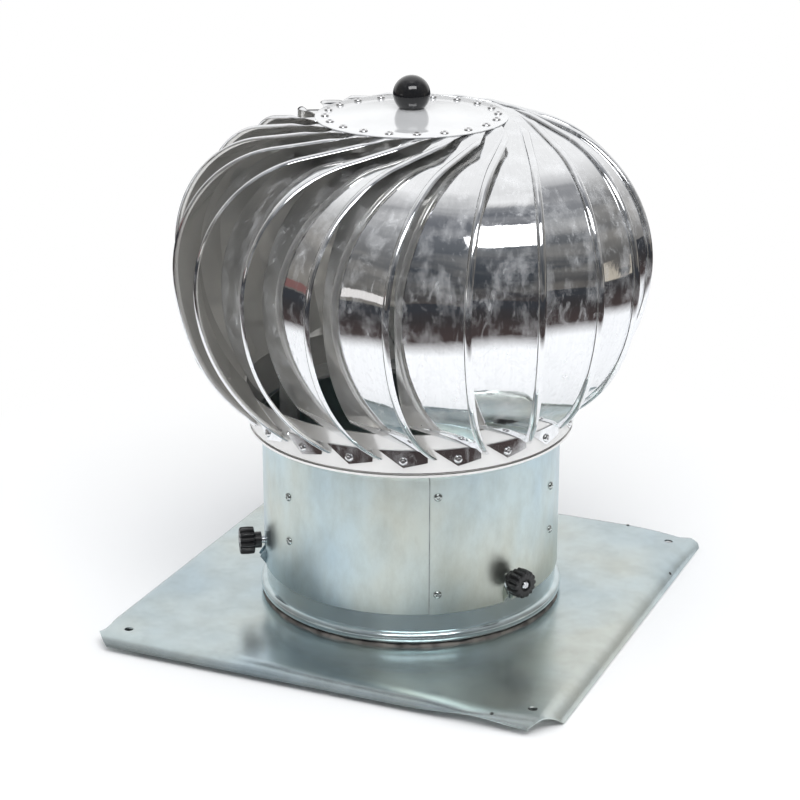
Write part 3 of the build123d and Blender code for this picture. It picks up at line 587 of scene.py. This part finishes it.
def vane_mesh(bulge, wobble):
    """One vane in its own frame: a strip bent from a flat grid, and its riveted foot."""
    bm = bmesh.new()
    uv = bm.loops.layers.uv.new("strip")
    strip_share = 1.0 - LIP_SHARE
    bmesh.ops.create_grid(bm, x_segments=STRIP_COLUMNS, y_segments=STRIP_ROWS, size=0.5, calc_uvs=True)
    flat = {vert: (vert.co.x + 0.5, vert.co.y + 0.5) for vert in bm.verts}
    for face in bm.faces:
        for loop in face.loops:
            across, along = flat[loop.vert]
            loop[uv].uv = (across * STRIP_UV[0], along * STRIP_UV[1])
    for vert, (across, along) in flat.items():
        share = min(across / strip_share, 1.0)
        lip_share = max((across - strip_share) / LIP_SHARE, 0.0)
        roll = math.radians(LIP_ROLL) * lip_share
        nominal = VANE_INNER + share * (VANE_FOLD - VANE_INNER)
        out, height, normal = strip_path(along, lower_end(nominal + lip_share * LIP_WIDTH))
        inner, outer = edge_limits(out)
        fold = min(VANE_FOLD, outer)
        place = inner + share * (fold - inner)
        lip = min(LIP_WIDTH, max(outer - VANE_FOLD, 0.0))
        lift = LIP_HEIGHT * lip / LIP_WIDTH * math.sin(roll)
        dent = bulge * share * math.exp(-((height - KNOCK_Z) / KNOCK_SPAN) ** 2)
        long_wave = math.sin(along * LONG_WAVE + wobble[1])
        short_wave = math.sin(along * SHORT_WAVE + share * SHORT_WAVE_SLANT + wobble[3])
        dent += wobble[0] * long_wave * math.sin(math.pi * along)
        dent += wobble[2] * short_wave * math.sin(math.pi * along)
        raised = lift + dent
        place += lip * (1.0 - math.cos(roll)) / 2
        vert.co = Vector((out + normal[0] * raised, place, height + normal[1] * raised))
    foot(bm)
    bmesh.ops.remove_doubles(bm, verts=bm.verts, dist=1e-3)
    bmesh.ops.recalc_face_normals(bm, faces=bm.faces)
    middle = Vector((0, 0, EQUATOR))
    inward = [face for face in bm.faces if face.normal.dot(face.calc_center_median() - middle) < 0]
    if len(inward) * 2 > len(bm.faces):
        bmesh.ops.reverse_faces(bm, faces=bm.faces)
    return bm


def foot_radius(height):
    """Distance of a foot from the axle: it leans back from the band's flare."""
    at_rivet = ring_radius(FOOT_RIVET_Z) + FOOT_OFFSET
    return at_rivet - (height - FOOT_RIVET_Z) * math.tan(math.radians(FOOT_TILT))


def foot(bm):
    """Flap on the flared band, cut to a point under its rivet."""
    made = bmesh.ops.create_grid(bm, x_segments=FOOT_CELLS[0], y_segments=FOOT_CELLS[1], size=0.5)
    low = FOOT_RIVET_Z - FOOT_DROP
    for vert in made["verts"]:
        side = 2 * vert.co.x
        corner = FOOT_NEAR_RISE if side < 0 else -FOOT_FAR_DROP
        bottom = low + abs(side) * (corner + FOOT_DROP)
        height = bottom + (vert.co.y + 0.5) * (FOOT_TOP_Z - bottom)
        angle = math.radians(FOOT_ANGLE + side * FOOT_SPREAD)
        radius = foot_radius(height)
        vert.co = Vector((radius * math.cos(angle), radius * math.sin(angle), height))


def make_vanes():
    """All the vanes, polished outside and satin inside; the lower ends of three are knocked out."""
    for index in range(1, VANE_COUNT + 1):
        wobble = (random.uniform(*LONG_WAVE_HEIGHTS), random.uniform(0.0, math.tau),
                  random.uniform(*SHORT_WAVE_HEIGHTS), random.uniform(0.0, math.tau))
        bm = vane_mesh(KNOCKED_VANES.get(index, 0.0), wobble)
        place = turn(VANE_START + (index - 1) * 360.0 / VANE_COUNT)
        bmesh.ops.transform(bm, matrix=place, verts=bm.verts)
        name = f"vane_{index:02d}"
        vane = finished(name + "_sheet", bm, VANE_STEEL, "turbine", [name], 40.0)
        wall = vane.modifiers.new("sheet", "SOLIDIFY")
        wall.thickness = VANE_SHEET / 1000
        wall.offset = 0.0
        vane.data.materials.append(VANE_INSIDE)
        wall.material_offset = 1


# Head

def make_ring():
    """Spun lower ring with its wall thickness: a bright lip and bead, and a satin flared band."""
    bead_radius, bead_z = RING_BEAD
    neck_radius, neck_z = RING_NECK
    groove_radius = neck_radius - RING_GROOVE
    outside = [RING_LIP, (bead_radius - BEAD_ROUND[0], bead_z - BEAD_ROUND[1]), RING_BEAD]
    outside += [(bead_radius, neck_z - BEAD_TOP_DROP), (groove_radius, neck_z - GROOVE_START_DROP)]
    outside += [(groove_radius, neck_z - GROOVE_END_DROP), RING_NECK, RING_TOP]
    inside = [(RING_TOP[0] - RING_SHEET, RING_TOP[1] + RING_EDGE_RISE)]
    inside.append((groove_radius - RING_SHEET, neck_z))
    inside.append((RING_LIP[0] - RING_SHEET, RING_LIP[1] + RING_LIP_RISE))
    bm = bmesh.new()
    turned(bm, outside + inside, 160)
    for face in bm.faces:
        face.material_index = int(face.calc_center_median().z < neck_z - BEAD_FACES_DROP)
    band = finished("lower_ring_band", bm, RING_STEEL, "turbine", ["lower_ring"], 30.0)
    band.data.materials.append(RING_BEAD_STEEL)


def make_disc():
    """Pressed top disc: flat rim with a rolled edge and a shallow dome."""
    crown_z = DISC_TOP - DISC_CROWN_DROP
    outline = [(STUD_HOLE_RADIUS, DISC_TOP), (DISC_CROWN_RADIUS, crown_z)]
    for index in range(1, DISC_DOME_STEPS + 1):
        share = index / DISC_DOME_STEPS
        radius = DISC_CROWN_RADIUS + share * (DISC_DOME_RADIUS - DISC_CROWN_RADIUS)
        outline.append((radius, crown_z - (crown_z - DISC_FACE) * share))
    outline.append((DISC_RADIUS - DISC_EDGE_ROUND[0], DISC_FACE))
    outline.append((DISC_RADIUS, DISC_FACE - DISC_EDGE_ROUND[1]))
    outline += [(DISC_RADIUS, DISC_UNDER), (DISC_DOME_RADIUS, DISC_UNDER)]
    outline += [(DISC_CROWN_RADIUS, crown_z - DISC_SHEET), (STUD_HOLE_RADIUS, DISC_TOP - DISC_SHEET)]
    bm = bmesh.new()
    turned(bm, outline, 128)
    finished("top_disc_skin", bm, DISC_STEEL, "turbine", ["top_disc"], 40.0)


def make_ball():
    """Polished ball with its flat seat."""
    centre = DISC_TOP + math.sqrt(BALL_RADIUS ** 2 - BALL_SEAT_RADIUS ** 2)
    start = math.degrees(math.asin((DISC_TOP - centre) / BALL_RADIUS))
    outline = arc((0.0, centre), BALL_RADIUS, start, 90.0, 28)
    outline[-1] = (0.0, centre + BALL_RADIUS)
    seat = [(0.0, DISC_TOP + BALL_GAP), (STUD_HOLE_RADIUS, DISC_TOP + BALL_GAP)]
    bm = bmesh.new()
    turned(bm, seat + outline, 64, closed=False)
    finished("ball_knob_skin", bm, BALL_PLASTIC, "turbine", ["ball_knob"], 50.0)


# Rivets and thumb knobs

def rivet_head(bm, place):
    """Domed blind rivet head with the recess of its pulled pin, set at a place."""
    part = bmesh.new()
    turned(part, RIVET_OUTLINE, 20, closed=False)
    joined(bm, part, place)


def make_rivets():
    """Rivet heads of the disc, the vane feet, the sleeve's lap and the bracket arms."""
    top = bmesh.new()
    feet = bmesh.new()
    for index in range(VANE_COUNT):
        angle = VANE_START + index * 360.0 / VANE_COUNT
        rivet_head(top, turn(angle + TOP_RIVET_ANGLE) @ shift(TOP_RIVET_RADIUS, 0, DISC_FACE))
        seat = foot_radius(FOOT_RIVET_Z) + VANE_SHEET / 2
        place = turn(angle + FOOT_ANGLE) @ shift(seat, 0, FOOT_RIVET_Z)
        rivet_head(feet, place @ lean(90 - FOOT_TILT))
    finished("top_rivet_heads", top, RIVET_METAL, "turbine", ["top_rivets"])
    finished("foot_rivet_heads", feet, RIVET_METAL, "turbine", ["foot_rivets"])
    seam = bmesh.new()
    for height in LAP_RIVET_HEIGHTS:
        seat = SLEEVE_RADIUS + LAP_SHEET
        rivet_head(seam, turn(LAP_RIVET_ANGLE) @ shift(seat, 0, height) @ lean(90))
    finished("seam_rivet_heads", seam, SLEEVE_RIVET_METAL, "base", ["seam_rivets"])
    arms = bmesh.new()
    for angle in ARM_ANGLES:
        for height in ARM_RIVET_HEIGHTS:
            rivet_head(arms, turn(angle) @ shift(SLEEVE_RADIUS, 0, height) @ lean(90))
    finished("arm_rivet_heads", arms, SLEEVE_RIVET_METAL, "base", ["arm_rivets"])


def lobed_section(verts, distance, radius, groove):
    """Sets a loop of vertices on a round section with narrow grooves between its lobes."""
    for vert in verts:
        angle = math.atan2(vert.co.y, vert.co.x)
        reach = radius - groove * abs(math.cos(angle * KNOB_LOBES / 2)) ** GROOVE_SHARPNESS
        vert.co = Vector((reach * math.cos(angle), reach * math.sin(angle), distance))


def thumb_knob():
    """Moulded knob: plain hub, deeply grooved rim and a recessed face, drawn along Z."""
    bm = bmesh.new()
    bmesh.ops.create_circle(bm, cap_ends=False, segments=KNOB_LOBES * LOBE_STEPS, radius=1.0)
    lobed_section(bm.verts, *KNOB_SECTIONS[0])
    edges = bm.edges[:]
    for section in KNOB_SECTIONS[1:]:
        grown = bmesh.ops.extrude_edge_only(bm, edges=edges)["geom"]
        lobed_section([item for item in grown if isinstance(item, bmesh.types.BMVert)], *section)
        edges = [item for item in grown if isinstance(item, bmesh.types.BMEdge)]
    bmesh.ops.holes_fill(bm, edges=[edge for edge in bm.edges if edge.is_boundary], sides=0)
    bmesh.ops.recalc_face_normals(bm, faces=bm.faces)
    return bm


def make_knobs():
    """The three thumb knobs, each with the bright end of its screw in the face."""
    for index, angle in enumerate(SCREW_ANGLES, 1):
        place = turn(angle) @ shift(KNOB_START, 0, SCREW_Z) @ lean(90)
        body = f"thumb_screw_{index}"
        node = f"thumb_knob_{index}"
        bm = bmesh.new()
        joined(bm, thumb_knob(), place)
        finished(node + "_moulding", bm, KNOB_PLASTIC, body, [node])
        end = bmesh.new()
        turned(end, SCREW_END_OUTLINE, 24, closed=False)
        bm = bmesh.new()
        joined(bm, end, place)
        finished(f"thumb_screw_{index}_end", bm, RIVET_METAL, body, [])


# Base plate

def soft_fold(across, start, drop):
    """Place and drop of a point that far across the plate, on a wide fold that ends at its edge."""
    share = max(across - start, 0.0) / (PLATE_HALF - start)
    angle = math.radians(FOLD_TURN) * share
    last = math.radians(FOLD_TURN)
    out = min(across, start) + (PLATE_HALF - start) * math.sin(angle) / math.sin(last)
    return out, drop * (1 - math.cos(angle)) / (1 - math.cos(last))


def tight_fold(across, along):
    """The same on a folded-down edge, which fades out towards the plate's corners."""
    share = (across - BORDER_START) / (PLATE_HALF - BORDER_START)
    bend = PLATE_HALF - TIGHT_FOLD_RADIUS
    bend_end = TIGHT_FLAT_SHARE + TIGHT_BEND_SHARE
    angle = math.radians(90) * min(max((share - TIGHT_FLAT_SHARE) / TIGHT_BEND_SHARE, 0.0), 1.0)
    out = BORDER_START + (bend - BORDER_START) * min(share / TIGHT_FLAT_SHARE, 1.0)
    out += TIGHT_FOLD_RADIUS * math.sin(angle)
    drop = TIGHT_FOLD_RADIUS * (1 - math.cos(angle))
    drop += (PLATE_TOP - TIGHT_FOLD_RADIUS) * max((share - bend_end) / (1 - bend_end), 0.0)
    strength = min(max((TIGHT_FOLD_END - abs(along)) / TIGHT_FOLD_RUN, 0.0), 1.0)
    strength *= strength * (3 - 2 * strength)
    return across + strength * (out - across), strength * drop


def plate_point(x, y):
    """Where a point of the flat sheet lies after its edges are folded and its corner is bent."""
    drops = [0.0]
    across = x
    if x > BORDER_START:
        across, drop = soft_fold(x, RIGHT_FOLD_START, RIGHT_FOLD_DROP)
        drops.append(drop)
    elif x < -BORDER_START:
        out, drop = tight_fold(-x, y)
        across = -out
        drops.append(drop)
    if y < -BORDER_START:
        kink = FRONT_KINK_RISE * math.exp(-((x - FRONT_KINK_X) / FRONT_KINK_SPAN) ** 2)
        out, drop = soft_fold(-y, FRONT_FOLD_START, FRONT_FOLD_DROP - kink)
        y = -out
        drops.append(drop)
    elif y > BORDER_START:
        y, drop = tight_fold(y, x)
        drops.append(drop)
    reach = max((x + y) * math.sqrt(0.5) - CORNER_BEND_START, 0.0) / CORNER_BEND_SPAN
    folded = max(drops)
    bent = CORNER_BEND_DROP * reach ** CORNER_BEND_POWER * (1 - folded / PLATE_TOP)
    return Vector((across, y, PLATE_TOP - folded - bent))


def cut_through(bm, place, normal, clear_outer=False):
    """Cuts all of the mesh along a plane, and takes away what is beyond it if asked."""
    geometry = bm.verts[:] + bm.edges[:] + bm.faces[:]
    bmesh.ops.bisect_plane(bm, geom=geometry, dist=1e-4, plane_co=place, plane_no=normal,
                           clear_outer=clear_outer)


def flat_sheet():
    """The plate before folding: a fine border, and a middle filled in round the flue and the holes."""
    bm = bmesh.new()
    bmesh.ops.create_grid(bm, x_segments=BORDER_CELLS, y_segments=BORDER_CELLS, size=PLATE_HALF)
    inside = []
    for face in bm.faces:
        middle = face.calc_center_median()
        if max(abs(middle.x), abs(middle.y)) < BORDER_START:
            inside.append(face)
    bmesh.ops.delete(bm, geom=inside, context="FACES")
    for place, normal in CORNER_CUTS:
        cut_through(bm, (*place, 0), (*normal, 0), clear_outer=True)
    rim = []
    for edge in bm.edges:
        middle = (edge.verts[0].co + edge.verts[1].co) / 2
        if edge.is_boundary and max(abs(middle.x), abs(middle.y)) < BORDER_START + RIM_MARGIN:
            rim.append(edge)
    bmesh.ops.create_circle(bm, cap_ends=False, segments=FLUE_STEPS, radius=SEAL_RADIUS)
    for x, y in ((1, 1), (1, -1), (-1, 1), (-1, -1)):
        place = shift(x * HOLE_PLACE, y * HOLE_PLACE, 0)
        bmesh.ops.create_circle(bm, cap_ends=False, segments=HOLE_STEPS, radius=HOLE_RADIUS,
                                matrix=place)
    rim += [edge for edge in bm.edges if edge.is_wire]
    bmesh.ops.triangle_fill(bm, use_beauty=True, edges=rim, normal=(0, 0, 1))
    for step in range(CORNER_BEND_CUTS):
        reach = (CORNER_BEND_START + step * CORNER_BEND_SPAN / (CORNER_BEND_CUTS + 1)) * math.sqrt(0.5)
        cut_through(bm, (reach, reach, 0), (1, 1, 0))
    bm.normal_update()
    bmesh.ops.reverse_faces(bm, faces=[face for face in bm.faces if face.normal.z < 0])
    return bm


def make_plate():
    """Base plate with worn, softly folded edges and a bent corner, and flat dark domes of painted shade
    for its pricked pilot holes.
    """
    bm = flat_sheet()
    for vert in bm.verts:
        vert.co = plate_point(vert.co.x, vert.co.y)
    plate = finished("base_plate_skin", bm, PLATE_ZINC, "base", ["base_plate"],
                     40.0)
    wall = plate.modifiers.new("sheet", "SOLIDIFY")
    wall.thickness = PLATE_SHEET / 1000
    wall.offset = -1.0
    # Pricked pilot holes: flattened spheres in near-black, painted shade standing for their insides
    pricks = bmesh.new()
    for x, y in PRICKS:
        middle = plate_point(x, y)
        rightwards = plate_point(x + SLOPE_STEP, y) - middle
        backwards = plate_point(x, y + SLOPE_STEP) - middle
        slope = rightwards.cross(backwards)
        tilt = Vector((0, 0, 1)).rotation_difference(slope).to_matrix().to_4x4()
        place = shift(*middle) @ tilt @ Matrix.Diagonal((1, 1, PRICK_FLATNESS, 1))
        bmesh.ops.create_uvsphere(pricks, u_segments=16, v_segments=8, radius=PRICK_RADIUS,
                                  matrix=place)
    finished("pilot_prick_shades", pricks, PRICK_SHADE, "base", [])


def make_seal():
    """Uneven bead of sealant in the corner between stub and plate."""
    bm = bmesh.new()
    bead = arc((SEAL_RADIUS + SEAL_BEAD_OUT, PLATE_TOP), SEAL_BEAD_RADIUS, SEAL_BEAD_START, 0, 5)
    turned(bm, [(SEAL_RADIUS, PLATE_TOP)] + bead, 180)
    for vert in bm.verts:
        angle = math.atan2(vert.co.y, vert.co.x)
        swell = 1.0
        for height, count, start in SEAL_WAVES:
            swell += height * math.sin(angle * count + start)
        vert.co.z = PLATE_TOP + (vert.co.z - PLATE_TOP) * swell
        radius = math.hypot(vert.co.x, vert.co.y)
        grown = SEAL_RADIUS + (radius - SEAL_RADIUS) * (1 - SEAL_SPREAD + SEAL_SPREAD * swell)
        vert.co.x *= grown / radius
        vert.co.y *= grown / radius
    finished("stub_seal_bead", bm, SEALANT, "base", ["stub_seal"], 60.0)


def make_seam():
    """Painted shadow: a dark strip where the sleeve's lap ends, standing for the shade under its step.
    """
    bm = bmesh.new()
    middle = (SLEEVE_BOTTOM + SLEEVE_TOP) / 2
    size = Matrix.Diagonal((SEAM_DEPTH, SEAM_WIDTH, SLEEVE_TOP - SLEEVE_BOTTOM - SEAM_SHORTER, 1.0))
    place = turn(LAP_EDGE_ANGLE) @ shift(SLEEVE_RADIUS, 0, middle)
    bmesh.ops.create_cube(bm, size=1.0, matrix=place @ size)
    finished("lap_seam_painted_shadow", bm, LAP_SHADOW_PAINT, "base", [])


make_vanes()
make_ring()
make_disc()
make_ball()
make_rivets()
make_knobs()
make_plate()
make_seal()
make_seam()

# Pieces whose CAD shape stays, smoothed, by their finish
for material, nodes in (
    (SLEEVE_ZINC, ("sleeve",)),
    (STUB_ZINC, ("base_stub",)),
    (BRACKET_ZINC, ("hub_plate", "bracket_arm_1", "bracket_arm_2", "bracket_arm_3")),
    (RIVET_METAL, ("hub_rivets",)),
    (TURNED_STEEL, ("axle", "axle_nut", "axle_washer", "axle_clip", "bearing_spacer")),
    (HOUSING_METAL, ("bearing_housing",)),
    (TURNED_STEEL, ("housing_clip", "knob_stud", "upper_bearing_outer", "upper_bearing_inner",
                    "lower_bearing_outer", "lower_bearing_inner")),
    (CAGE_BRASS, ("upper_bearing_cage", "lower_bearing_cage")),
    (TURNED_STEEL, ("thumb_screw_1", "thumb_screw_2", "thumb_screw_3",
                    "screw_insert_1", "screw_insert_2", "screw_insert_3")),
):
    for node in nodes:
        smooth_copy(node, material)


# Stage, light and camera

def stage_piece(name, bm, material):
    """Floor or card, which isn't part of the object."""
    mesh = bpy.data.meshes.new(name)
    bm.to_mesh(mesh)
    bm.free()
    mesh.materials.append(material)
    piece = bpy.data.objects.new(name, mesh)
    bpy.context.scene.collection.objects.link(piece)
    return piece


def glow(tree, colour):
    """Emission shader of strength 1."""
    node = tree.nodes.new("ShaderNodeEmission")
    node.inputs["Color"].default_value = (*colour, 1.0)
    return node.outputs["Emission"]


def mixed(tree, factor, first, second):
    """Mix of two shaders by a socket."""
    node = tree.nodes.new("ShaderNodeMixShader")
    tree.links.new(factor, node.inputs["Fac"])
    tree.links.new(first, node.inputs[1])
    tree.links.new(second, node.inputs[2])
    return node.outputs["Shader"]


def distance_fade(tree, centre, start, end):
    """Rises from 0 to 1 between two distances from a point on the floor, in metres."""
    source = tree.nodes.new("ShaderNodeTexCoord")
    distance = tree.nodes.new("ShaderNodeVectorMath")
    distance.operation = "DISTANCE"
    distance.inputs[1].default_value = centre
    tree.links.new(source.outputs["Object"], distance.inputs[0])
    return spread(tree, distance.outputs["Value"], 0.0, 1.0, start, end)


def plainly_seen(tree, path):
    """1 for a ray from the camera or through glass."""
    camera_ray = path.outputs["Is Camera Ray"]
    return worked_out(tree, "MAXIMUM", camera_ray, path.outputs["Is Transmission Ray"])


def make_floor():
    """Pale floor with the object's shadow; white far off, and dim far off in reflections."""
    material, tree, principled = shader("pale_floor")
    principled.inputs["Base Color"].default_value = (0.93, 0.93, 0.93, 1.0)
    principled.inputs["Roughness"].default_value = 0.9
    path = tree.nodes.new("ShaderNodeLightPath")
    seen = plainly_seen(tree, path)
    seen_far = worked_out(tree, "MULTIPLY", seen, distance_fade(tree, (0, 0, 0), *FLOOR_WHITE))
    heading = math.radians(CAMERA_HEADING)
    behind = (-ROOM_BEHIND * math.sin(heading), ROOM_BEHIND * math.cos(heading), 0)
    dim_share = distance_fade(tree, behind, *ROOM_EDGE)
    mirrored_far = worked_out(tree, "MULTIPLY", path.outputs["Is Glossy Ray"], dim_share)
    surface = mixed(tree, seen_far, principled.outputs["BSDF"], glow(tree, (1.0, 1.0, 1.0)))
    dim = tree.nodes.new("ShaderNodeEmission")
    tones = ramp(tree, distance_fade(tree, behind, *ROOM_DEPTH), [
        (0.0, (0.07, 0.052, 0.05)), (0.3, (0.045, 0.041, 0.042)), (1.0, (0.042, 0.045, 0.052))])
    tree.links.new(tones, dim.inputs["Color"])
    surface = mixed(tree, mirrored_far, surface, dim.outputs["Emission"])
    tree.links.new(surface, tree.nodes["Material Output"].inputs["Surface"])
    bm = bmesh.new()
    bmesh.ops.create_circle(bm, cap_ends=True, segments=64, radius=FLOOR_SIZE)
    stage_piece("floor", bm, material)


def room_card(name, azimuth, elevation, width, height, colour):
    """Lit patch of the room, seen only in reflections; azimuth is counted from the camera's side."""
    material, tree, _ = shader(name)
    tree.links.new(glow(tree, colour), tree.nodes["Material Output"].inputs["Surface"])
    bm = bmesh.new()
    bmesh.ops.create_grid(bm, x_segments=1, y_segments=1, size=0.5)
    bmesh.ops.scale(bm, vec=(width, height, 1.0), verts=bm.verts)
    upright = Matrix.Rotation(math.radians(90), 4, "X")
    place = shift(0, -CARD_DISTANCE, CARD_EYE + CARD_DISTANCE * math.tan(math.radians(elevation)))
    bmesh.ops.transform(bm, matrix=turn(CAMERA_HEADING + azimuth) @ place @ upright, verts=bm.verts)
    card = stage_piece(name, bm, material)
    card.visible_camera = False
    card.visible_diffuse = False
    card.visible_shadow = False
    card.visible_transmission = False


def make_world():
    """White to the camera, soft light on the object, and in reflections a dim room with a white back."""
    world = bpy.data.worlds.new("studio")
    bpy.context.scene.world = world
    world.use_nodes = True
    tree = world.node_tree
    soft = tree.nodes["Background"]
    soft.inputs["Color"].default_value = (0.95, 0.97, 1.0, 1.0)
    soft.inputs["Strength"].default_value = SOFT_LIGHT
    white = tree.nodes.new("ShaderNodeBackground")
    white.inputs["Color"].default_value = (1.0, 1.0, 1.0, 1.0)
    room = tree.nodes.new("ShaderNodeBackground")
    source = tree.nodes.new("ShaderNodeTexCoord")
    facing = tree.nodes.new("ShaderNodeMapping")
    facing.inputs["Rotation"].default_value = (0.0, 0.0, math.radians(90.0 - CAMERA_HEADING))
    tree.links.new(source.outputs["Generated"], facing.inputs["Vector"])
    bearing = tree.nodes.new("ShaderNodeTexGradient")
    bearing.gradient_type = "RADIAL"
    tree.links.new(facing.outputs["Vector"], bearing.inputs["Vector"])
    parts = tree.nodes.new("ShaderNodeSeparateXYZ")
    tree.links.new(source.outputs["Generated"], parts.inputs["Vector"])
    level = spread(tree, parts.outputs["Z"], 0.0, 1.0, -1.0, 1.0)
    front = ramp(tree, level, [
        (0.4, (0.055, 0.045, 0.044)), (0.5, (0.045, 0.042, 0.045)), (0.58, (0.045, 0.05, 0.058)),
        (0.72, (0.06, 0.068, 0.08)), (0.85, (0.12, 0.13, 0.145)), (0.95, (0.13, 0.14, 0.16)),
        (0.987, (0.15, 0.16, 0.18)), (0.992, (0.7, 0.7, 0.7)), (0.996, (1.0, 1.0, 1.0))])
    sides = ramp(tree, level, [
        (0.42, (0.2, 0.19, 0.172)), (0.63, (0.3, 0.285, 0.262)), (0.8, (0.36, 0.35, 0.335)),
        (0.885, (0.6, 0.6, 0.6)), (0.95, (0.45, 0.45, 0.46)), (0.99, (0.8, 0.8, 0.8))])
    back = ramp(tree, level, [
        (0.47, (0.5, 0.5, 0.5)), (0.53, (0.85, 0.85, 0.85)), (0.62, (1.0, 1.0, 1.0)),
        (0.96, (0.95, 0.95, 0.95)), (1.0, (0.85, 0.85, 0.85))])
    sideways = ramp(tree, bearing.outputs["Fac"], [
        (0.2, (0.6,) * 3), (0.3, (0.35,) * 3), (0.42, (0.0,) * 3),
        (0.6, (0.0,) * 3), (0.7, (0.3,) * 3), (0.8, (0.55,) * 3)])
    clutter = tree.nodes.new(NOISE)
    clutter.inputs["Scale"].default_value = 4.0
    clutter.inputs["Detail"].default_value = 4.0
    tree.links.new(source.outputs["Generated"], clutter.inputs["Vector"])
    uneven = spread(tree, clutter.outputs["Fac"], 0.0, 0.6, 0.42, 0.68)
    behind = ramp(tree, bearing.outputs["Fac"], [
        (0.1, (1.0,) * 3), (0.19, (0.0,) * 3), (0.81, (0.0,) * 3), (0.9, (1.0,) * 3)])
    colour = front
    for factor, other in ((worked_out(tree, "ADD", sideways, uneven), sides), (behind, back)):
        mix = tree.nodes.new("ShaderNodeMixRGB")
        tree.links.new(factor, mix.inputs["Fac"])
        tree.links.new(colour, mix.inputs["Color1"])
        tree.links.new(other, mix.inputs["Color2"])
        colour = mix.outputs["Color"]
    tree.links.new(colour, room.inputs["Color"])
    path = tree.nodes.new("ShaderNodeLightPath")
    seen = plainly_seen(tree, path)
    surface = mixed(tree, seen, soft.outputs["Background"], white.outputs["Background"])
    surface = mixed(tree, path.outputs["Is Glossy Ray"], surface, room.outputs["Background"])
    tree.links.new(surface, tree.nodes["World Output"].inputs["Surface"])


def make_lamp(name, place, target, width, height, watts, mirrored):
    """Soft area lamp aimed at a point, unseen by the camera; reflections show it if mirrored."""
    data = bpy.data.lights.new(name, "AREA")
    data.shape = "RECTANGLE"
    data.size = width
    data.size_y = height
    data.energy = watts
    lamp = bpy.data.objects.new(name, data)
    lamp.location = place
    lamp.rotation_mode = "QUATERNION"
    lamp.rotation_quaternion = (Vector(target) - Vector(place)).to_track_quat("-Z", "Y")
    lamp.visible_camera = False
    lamp.visible_glossy = mirrored
    bpy.context.scene.collection.objects.link(lamp)


def make_camera():
    """The photograph's camera."""
    data = bpy.data.cameras.new("photo_camera")
    data.lens = CAMERA_LENS
    data.sensor_width = 36.0
    camera = bpy.data.objects.new("photo_camera", data)
    camera.location = CAMERA_PLACE
    camera.rotation_euler = (math.radians(90.0 + CAMERA_PITCH), 0.0, math.radians(CAMERA_HEADING))
    bpy.context.scene.collection.objects.link(camera)
    bpy.context.scene.camera = camera


make_floor()
room_card("lit_doorway", -65.0, 3.0, 0.62, 0.2, (0.85, 0.82, 0.8))
room_card("red_cupboard", -99.0, 1.0, 0.6, 0.16, (0.22, 0.115, 0.11))
room_card("warm_panel", 86.0, -6.0, 0.25, 0.7, (0.55, 0.5, 0.42))
make_world()
make_lamp("overhead", (0.2, -0.4, 2.2), (0, 0, 0.1), 2.2, 2.2, OVERHEAD_WATTS, False)
strip_place = turn(CAMERA_HEADING + STRIP_AZIMUTH) @ Vector(STRIP_PLACE)
make_lamp("front_strip", strip_place, (0, 0, 0.25), 2.6, 1.0, STRIP_WATTS, True)
make_camera()
bpy.context.scene.view_settings.view_transform = "Standard"
